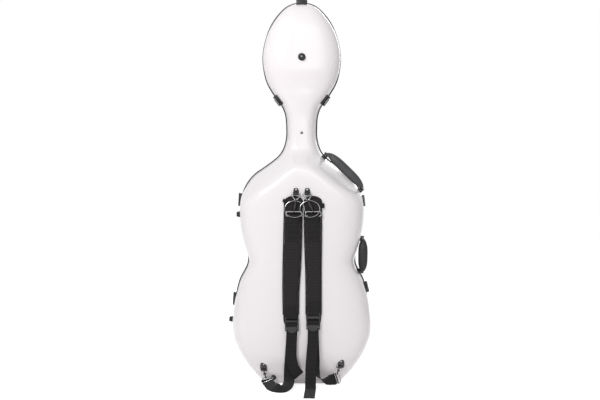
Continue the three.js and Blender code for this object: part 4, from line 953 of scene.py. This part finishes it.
for side, s in STRAPS.items():
    bx = s["bracket"]
    tongue = soft_plate(mirrored(BRACKET_SIDE), 4.9, 0.8)
    parts = [
        placed(tongue, rear_frame(bx, PLATEAU + 1.5, BRACKET_TOP)),
        soft_box(bx - 9, bx + 9, RING_Y, PLATEAU, HANG_Z - 3.8, HANG_Z + 3.8, 0.6),
        pin((bx - 9, RING_Y, HANG_Z), (bx + 9, RING_Y, HANG_Z), 3.8, 0.7),
    ]
    strap_piece(side, "bracket_plate", joined(parts), BLACK, "strap_bracket")
    rivet = turned(BRACKET_RIVET, (bx, PLATEAU - 3.3, BRACKET_TOP - 6), REARWARD, 32)
    strap_piece(side, "bracket_rivet", rivet, CHROME)
    corners = [(bx + x, RING_Y, HANG_Z + z) for x, z in TRIANGLE]
    triangle = tube(smooth_line(corners, 8, True), WIRE, True)
    strap_piece(side, "triangle_wire", triangle, CHROME, "strap_ring")
    hook = snap_hook((bx, RING_Y, APEX), (s["ring"], RING_Y, WIDE_TOP), bulk=1.35)
    strap_piece(side, "snap_hook", hook, DARK_GUN, "strap_hook")
    centre_z = (WIDE_TOP + WIDE_LOW) / 2
    wide = WIDE_HALF + [(-x, -z) for x, z in WIDE_HALF]
    corners = [(s["ring"] + x, RING_Y, centre_z + z) for x, z in wide]
    loop = tube(smooth_line(corners, 6, True), WIDE_WIRE, True)
    strap_piece(side, "wide_wire", loop, CHROME, "pad_ring")
    angle, through = around(80), APEX - 4.4
    across = LOOP_WIDE * np.sin(angle)
    top = sqrt(1 - (s["sway"] / LOOP_WIDE) ** 2)
    level = through + LOOP_HIGH * (np.cos(angle) - top)
    away = RING_Y - 0.16 * (through - level) - 0.06 * across
    thin = tube(np.c_[bx + s["sway"] + across, away, level], LOOP_WIRE, True, 8)
    strap_piece(side, "thin_loop", thin, CHROME)

    px, pz = s["plate"]
    ex, ez = s["eye"]
    surface = back_skin(px, pz)
    oval = [(11.5 * fuller(cos(a)), 15 * fuller(sin(a))) for a in around(32)]
    leg = [(9, surface + 2), (9, LOWER_Y + 3), (7, LOWER_Y)]
    staple = [(ex - x, y, ez) for x, y in leg] + [(ex, LOWER_Y, ez)]
    staple += [(ex + x, y, ez) for x, y in leg[::-1]]
    parts = [
        placed(soft_plate(oval, 8.4, 1.0), rear_frame(px, surface + 5, pz)),
        tube(smooth_line(staple, 8), WIRE, False, 14, (0, 0, 1)),
    ]
    strap_piece(side, "lower_plate", joined(parts), DARK_GUN, "lower_bracket")
    rivet = turned(LOWER_RIVET, (px, surface - 3.3, pz + 8.5), REARWARD, 24)
    strap_piece(side, "lower_rivet", rivet, CHROME)
    centre = np.array((s["lower"][0], LOWER_Y, s["lower"][1]))
    bar, arc = unit(np.array((s["bar"], s["arc"])))
    corners = [centre + bar * D_WIDE * u + arc * D_DEEP * v for u, v in D_SHAPE]
    d_ring = tube(smooth_line(corners, 6, True), WIRE, True, 14, np.cross(bar, arc))
    strap_piece(side, "lower_wire", d_ring, CHROME, "lower_ring")
    u, v = s["hook"]
    caught = centre + bar * D_WIDE * u + arc * D_DEEP * v
    hook = snap_hook((ex, LOWER_Y, ez), caught, bulk=1.3)
    strap_piece(side, "lower_snap_hook", hook, DARK_GUN, "lower_hook")

# ---- Webbing

HEM_ROWS, HEM_STITCHES, HEM_HALF = (9, 13), 17, 0.86
ROUTES = {  # ways that the width lies, each with the places it holds for
    "left": [
        ((0.93, 0, 0.37), (-117, -137, 20.5), (-116, -137.4, 16), (-113.6, -142, 11)),
        ((0.93, 0, 0.37), (-112.3, -147.4, 12.5)),
        ((0.9, 0.2, 0.4), (-108, -168, 13)),
        ((0.72, 0.4, 0.57), (-98, -205, 11)),
        ((0.25, 0.75, 0.6), (-82, -232, 10.5)),
        ((-0.25, 0.85, 0.45), (-65, -236, 9)),
        ((-0.85, 0.4, 0.25), (-51, -220, 12)),
        ((-0.97, 0.15, 0.1), (-44, -192, 16)),
        ((-1, 0.04, 0), (-42, -166, 22)),
        ((-1, 0, 0), (-42, -150, 34), (-41, -144, 58), (-38, -141.8, 100), (-34, -142.2, 165)),
        ((-1, 0, 0), (-33, -142.6, 196), (-33, -143.6, 206.5), (-33, -146.1, 208.4)),
        ((-1, 0, 0), (-33, -148.6, 206.5), (-33, -149.6, 198), (-33, -150, 184)),
        ((-1, 0, 0), (-35, -150.5, 130)),
        ((-0.97, 0, -0.2), (-35, -152, 94)),
        ((-0.85, 0, -0.52), (-29, -155, 68)),
        ((-0.8, 0, -0.6), (-19, -158, 50), (-8, -160, 37)),
    ],
    "right": [
        ((0.33, 0, -0.94), (118.7, -137, 25.65), (114.94, -137.4, 24.33), (110.1, -142, 22.6)),
        ((0.33, 0, -0.94), (109.3, -147, 22.35)),
        ((0.3, 0.15, -0.94), (100.3, -150, 22)),
        ((0.12, 0.6, -0.78), (82.3, -160, 22)),
        ((0.05, 0.97, -0.2), (63.3, -162, 27)),
        ((0.6, 0.78, 0.05), (48.6, -157, 50)),
        ((0.95, 0.3, 0), (42.2, -151, 85)),
        ((1, 0, 0), (40.1, -146, 120), (39.1, -143.5, 150), (38, -142.3, 176), (38, -142.6, 202)),
        ((1, 0, 0), (38, -143.6, 212.5), (38, -146.1, 214.4), (38, -148.6, 212.5)),
        ((1, 0, 0), (38, -149.6, 204), (38, -150.5, 190), (37, -158, 150), (33, -172, 110)),
        ((1, 0, 0), (30, -180, 70), (29, -184, 34), (28.5, -190, 12), (28, -206, 3)),
        ((1, 0, 0), (26.5, -235, 1.5), (24.5, -280, 1.5), (22, -330, 1.5)),
    ],
}


def ribbon(route, width, thick, steps=12):
    """Webbing along a route of places and width directions, with its UVs in metres."""
    route = np.array(route, float)
    line = smooth_line(route[:, :3], steps)
    flat = np.repeat(route[:-1, 3:], steps, axis=0)
    share = np.tile(np.linspace(0, 1, steps, endpoint=False), len(route) - 1)[:, None]
    flat = flat * (1 - share) + np.repeat(route[1:, 3:], steps, axis=0) * share
    flat = np.vstack([flat, route[-1:, 3:]])
    along = unit(np.gradient(line, axis=0))
    flat = unit(flat - along * np.sum(flat * along, axis=1)[:, None])
    up = np.cross(along, flat)
    reach = (abs(flat[:, 2]) * width + abs(up[:, 2]) * thick) / 2
    line[:, 2] = np.maximum(line[:, 2], reach)
    level = [(a, -1) for a in (-0.97, -0.6, -0.2, 0.2, 0.6, 0.97)]
    section = [(-1, -0.35), *level, (1, -0.35)]
    section += [(-a, -b) for a, b in section]
    lines = [line + flat * a * width / 2 + up * b * thick / 2 for a, b in section]
    uv = [(a * width / 2 * MM, v) for v in distances(line) * MM for a, _ in section]
    return lofted(lines), uv, line, flat, up


def sewn_tab(side, name, points, across, width, thick=1.4):
    """A strip of webbing folded along points, its width lying one way."""
    shape, uv, *_ = ribbon([(*point, *across) for point in points], width, thick)
    strap_piece(side, name, shape, WEB, angle=50, uv=uv)


for side, stretches in ROUTES.items():
    route = [(*place, *across) for across, *places in stretches for place in places]
    shape, uv, line, flat, up = ribbon(route, WEB_WIDTH, WEB_THICK)
    strap_piece(side, "webbing", shape, WEB, "strap_webbing", angle=50, uv=uv)
    hem = []
    for row in HEM_ROWS:
        k = len(line) - row
        for a in np.linspace(-HEM_HALF, HEM_HALF, HEM_STITCHES):
            for sign in (-1, 1):
                spot = line[k] + flat[k] * a * WEB_WIDTH / 2 + sign * up[k] * (WEB_THICK / 2)
                ends = [spot - flat[k] * 0.75, spot + flat[k] * 0.75]
                hem.append(tube(ends, 0.3, False, 5, (0, 0, 1)))
    strap_piece(side, "webbing_hem", joined(hem), Finish("webbing", THREAD))

# ---- Padded straps and buckles


def stitch_row(start, end, pitch=3.2):
    """A row of thread, stitch by stitch."""
    start, end = np.array(start, float), np.array(end, float)
    count = max(int(np.linalg.norm(end - start) / pitch), 1)
    step = (end - start) / count
    spans = [(start + step * (k + 0.12), start + step * (k + 0.88)) for k in range(count)]
    return [tube(span, 0.36, False, 5, (0, 1, 0)) for span in spans]


PUFF_FRAMES = 16


def puffed(obj, pressure, cap, voxel):
    """Swells a stuffed shape with the cloth solver, no point moving further than cap."""
    remesh = obj.modifiers.new("remesh", "REMESH")
    remesh.mode = "VOXEL"
    remesh.voxel_size = voxel * MM
    applied(obj)
    rest = np.array([v.co for v in obj.data.vertices])
    cloth = obj.modifiers.new("cloth", "CLOTH")
    stuff = cloth.settings
    stuff.use_pressure = True
    stuff.uniform_pressure_force = pressure
    stuff.tension_stiffness = stuff.compression_stiffness = 12
    stuff.bending_stiffness = 0.6
    stuff.effector_weights.gravity = 0
    cloth.collision_settings.use_collision = False
    for frame_number in range(1, PUFF_FRAMES + 1):
        scene.frame_set(frame_number)
    graph = bpy.context.evaluated_depsgraph_get()
    made = obj.evaluated_get(graph).to_mesh()
    moved = np.array([v.co for v in made.vertices]) - rest
    obj.evaluated_get(graph).to_mesh_clear()
    obj.modifiers.clear()
    scene.frame_set(1)
    far = np.linalg.norm(moved, axis=1)[:, None]
    moved *= np.minimum(1, cap * MM / np.maximum(far, 1e-9))
    rest = rest + moved
    return rest


def stuffed(obj, points, finish):
    obj.data.vertices.foreach_set("co", points.astype(np.float32).ravel())
    obj.data.materials.clear()
    obj.data.materials.append(finish.material)
    obj.data.shade_smooth()
    smooth = obj.modifiers.new("smooth", "SUBSURF")
    smooth.levels = smooth.render_levels = 1


PAD_SHAPE = {  # places down the strap with the middle and half the width there
    "left": [
        (632, -27.5, 31.5), (470, -31, 31.5), (395, -33.5, 31), (318, -36.5, 28.5),
        (229, -36.5, 27),
    ],
    "right": [
        (632, 36.8, 31), (470, 37.5, 29.5), (395, 38.5, 27.5), (318, 39.3, 27), (229, 39.3, 27),
    ],
}
PAD_BACK = PLATEAU - 0.6
PAD_FRONT = PAD_BACK - 9.2
TAB_FRONT, THREAD_FRONT = PAD_FRONT - 0.9, PAD_FRONT - 1.75
THICKNESS = [(0, 7.6), (WIDE_LOW - 26, 7.6), (WIDE_LOW - 12, 3.6), (9999, 3.6)]
PAD_RINGS, PAD_SIDES, PAD_ROUND_TOP, PAD_ROUND_FOOT = 71, 28, 22, 9
GROOVE_IN, GROOVE_WIDE, GROOVE_DEEP = 7, 1.3, 1.1
RIM_STEPS, ARC_STEPS, RIM_IN, BINDING_RADIUS = 60, 24, 1.6, 1.9
RIM_TOP, RIM_FOOT = PAD_TOP - 20, PAD_LOW + 8
FLAP_SIDE = [(-25.5, 8), (-25.5, -4), (-24, -15), (-20.5, -26), (-18, -33)]
LOOP_FOLD = [(-5, 0), (4, 0), (6.4, -1.1), (4, -2.2), (-5, -2.4)]
TAB_FOLD = [(4.4, -4), (2.9, 1), (0, 3.2), (-2.9, 0), (-2.2, -8)]
LOWER_TAB_FOLD = [
    (4.4, 8), (3.0, 1), (1.6, -2.4), (-0.2, -3.1), (-2.0, -2.6), (-3.2, 1), (-3.4, 9),
]
RAIL = [  # 0 at the buckle's foot or 1 at its top, then how far back and up from there
    (0, -6.4, 1), (0, -4, -1), (0, 1.4, -2.6), (0, 2.2, 0), (1, 1.9, -2), (1, 1.2, 2.4),
    (1, -1.4, 2.4), (1, -2.4, 0), (0, -2.6, 16), (0, -6.4, 13),
]
PAD_THREAD = Finish("pad_fabric", THREAD)
for side, s in STRAPS.items():
    heights, middles, halves = np.array(PAD_SHAPE[side])[::-1].T
    x_at = lambda z: np.interp(z, heights, middles)
    half_at = lambda z: np.interp(z, heights, halves)
    z = PAD_TOP + (PAD_LOW - PAD_TOP) * (1 - np.cos(np.linspace(0, pi, PAD_RINGS))) / 2
    near = np.minimum((PAD_TOP - z) / PAD_ROUND_TOP, (z - PAD_LOW) / PAD_ROUND_FOOT)
    half = (half_at(z) - 1.5) * np.sqrt(1 - (1 - np.clip(near, 0.05, 1)) ** 2)
    thin = eased(THICKNESS, z)
    lines = []
    for a in around(PAD_SIDES):
        reach = (abs(cos(a)) ** 4 + abs(sin(a)) ** 4) ** 0.25
        y = PAD_BACK - thin / 2 - 0.6 + thin / 2 * sin(a) / reach
        lines.append(np.c_[x_at(z) + half * cos(a) / reach, y, z])
    pad = strap_piece(side, "pad", lofted(lines), PAD, "shoulder_pad", angle=60)
    points = puffed(pad, pressure=3.0, cap=1.5, voxel=3.2)
    front = points[:, 1] < (PAD_BACK - 2.2) * MM
    z_mm, x_mm = points[:, 2] / MM, points[:, 0] / MM
    off = abs(x_mm - x_at(z_mm)) - half_at(z_mm) + GROOVE_IN
    groove = np.exp(-((off / GROOVE_WIDE) ** 2)) * (z_mm < WIDE_LOW - 20) * GROOVE_DEEP
    points[:, 1] = np.minimum(points[:, 1] + groove * front * MM, (PAD_BACK - 0.05) * MM)
    stuffed(pad, points, PAD)

    z = np.linspace(RIM_TOP, RIM_FOOT, RIM_STEPS)
    rim = half_at(z) - RIM_IN
    arc = np.linspace(pi, 0, ARC_STEPS)[1:-1]
    top = x_at(PAD_TOP) + (half_at(PAD_TOP) - RIM_IN) * np.cos(arc)
    x = np.r_[(x_at(z) - rim)[::-1], top, x_at(z) + rim]
    z = np.r_[z[::-1], RIM_TOP + 19 * np.sin(arc), z]
    deep = np.interp(z, [WIDE_LOW - 26, WIDE_LOW - 12], [4.4, 2.4])
    binding = tube(np.c_[x, PAD_BACK - deep - 0.3, z], BINDING_RADIUS, False, 12, (0, 1, 0))
    strap_piece(side, "pad_binding", binding, BINDING)
    flap = soft_plate(FLAP_SIDE + [(-x, z) for x, z in FLAP_SIDE[::-1]], 2.2, 0.8)
    place = rear_frame(x_at(PAD_LOW), PAD_BACK - 0.2, PAD_LOW)
    strap_piece(side, "pad_flap", placed(flap, place), PAD)
    tab_x, tab_z, turn, tab_width = s["loop"]
    turn = radians(turn)
    out = np.array((cos(turn), 0, sin(turn)))
    spot = np.array((tab_x, PAD_BACK - 2.9, tab_z))
    folded = [spot + out * far + (0, y, 0) for far, y in LOOP_FOLD]
    sewn_tab(side, "pad_loop_tab", folded, (-out[2], 0, out[0]), tab_width, thick=1.2)

    tab = [(s["ring"], PAD_BACK - 5.2, WIDE_LOW - 9)]
    tab += [(s["ring"], RING_Y + y, WIDE_LOW + z) for y, z in TAB_FOLD]
    tab += [(x_at(540), PAD_FRONT - 2.3, WIDE_LOW - 20)]
    tab += [(x_at(z), TAB_FRONT, z) for z in (520, 480)]
    sewn_tab(side, "pad_tab", tab, (1, 0, 0), width=38)
    bx, bz = s["buckle"]
    top, y0 = bz + 38 + s["rim"], BUCKLE_Y
    tab = [(bx, PAD_BACK - 3.2, top + 24)]
    tab += [(bx, y0 + y, top + z) for y, z in LOWER_TAB_FOLD]
    tab += [(x_at(z), TAB_FRONT, z) for z in (top + 22, top + 40)]
    sewn_tab(side, "pad_lower_tab", tab, (1, 0, 0), width=WEB_WIDTH)
    rows = []
    across = [(z, x_at(z), 17) for z in (536, 524, 500, 484)]
    for z, x, half in (*across, (top + 36, x_at(top + 36), 16), (top + 14, bx, 16)):
        rows += stitch_row((x - half, THREAD_FRONT, z), (x + half, THREAD_FRONT, z))
    for sign in (-1, 1):
        rows += stitch_row(*((x_at(z) + sign * 16.5, THREAD_FRONT, z) for z in (500, 484)))
        for z1, z0 in zip(heights[1:], heights):
            ends = (min(z1, 545), max(z0, 238))
            ends = [(x_at(z) + sign * (half_at(z) - GROOVE_IN), PAD_FRONT + 0.5, z) for z in ends]
            rows += stitch_row(*ends, pitch=4)
    strap_piece(side, "pad_stitches", joined(rows), PAD_THREAD)

    rail = [(y0 + y, (bz, top)[end] + z) for end, y, z in RAIL]
    parts = [swept_profile(rail, x, x + 3.4, 0.6) for x in (bx - 23, bx + 19.6)]
    for z in (bz, bz + 21, top):
        parts.append(pin((bx - 21, y0, z), (bx + 21, y0, z), 1.9, 0.3, 20))
    low_edge, high_edge = s["bar_z"]
    parts.append(soft_box(bx - 20.5, bx + 20.5, y0 - 2.2, y0 + 1.4, low_edge, high_edge, 0.9))
    arc = np.linspace(0.15, pi - 0.15, 19)
    tongue = [(-21, 1), (-19.5, -3)]
    tongue += [(-18 * cos(a), -3.5 - 16 * sin(a)) for a in arc] + [(19.5, -3), (21, 1)]
    tilted = frame_of((1, 0, 0), (0, 0.14, 0.99), (0, -0.99, 0.14), (bx, y0 - 5.6, bz + 12))
    parts.append(placed(soft_plate(tongue, 2.2, 0.6), tilted))
    strap_piece(side, "buckle", joined(parts), PLASTIC, "strap_buckle")

# ---- Inside: the bow holder, the neck rest and the end cradle

for node in ("bow_rest", "bow_clip"):
    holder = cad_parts[node]
    holder.data.materials.clear()
    holder.data.materials.append(PLASTIC.material)
    edges = holder.modifiers.new("edges", "BEVEL")
    edges.width, edges.segments, edges.limit_method = 0.8 * MM, 2, "ANGLE"

for node in ("neck_rest", "end_cradle"):
    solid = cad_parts[node]
    verts = np.array([solid.matrix_world @ v.co for v in solid.data.vertices]) / MM
    faces = [tuple(face.vertices) for face in solid.data.polygons]
    block = piece(f"{node}_padding", (verts, faces), PLUSH, node, angle=60)
    points = puffed(block, pressure=2.0, cap=1.0, voxel=3.0)
    bm = bmesh.new()
    bm.from_mesh(block.data)
    for v, point in zip(bm.verts, points):
        v.co = point
    sides = dict(use_axis_x=True, use_axis_y=True, use_axis_z=True)
    for _ in range(4):
        bmesh.ops.smooth_vert(bm, verts=bm.verts[:], factor=0.5, **sides)
    points = np.array([v.co for v in bm.verts])
    bm.free()
    stuffed(block, points, PLUSH)

# ---- Floor

floor_mesh = bpy.data.meshes.new("floor")
floor_mesh.from_pydata([(-9, -9, 0), (9, -9, 0), (9, 9, 0), (-9, 9, 0)], [], [(0, 1, 2, 3)])
floor = added("floor", floor_mesh)
floor_paint = Paint("pale_floor", (0.93, 0.93, 0.935), 0.8, Specular_IOR_Level=0.0)
floor_paint.tint(floor_paint.ramp(floor_paint.noise(3, 3), 0.4, 0.7, 0, 0.3), (0.95, 0.95, 0.95))
floor_paint.shader.inputs["Emission Color"].default_value = (1, 1, 1, 1)
glow = floor_paint.math("MULTIPLY", seen_rays(floor_paint.tree), 0.72)
floor_paint.link(glow, floor_paint.shader.inputs["Emission Strength"])
floor_mesh.materials.append(floor_paint.material)
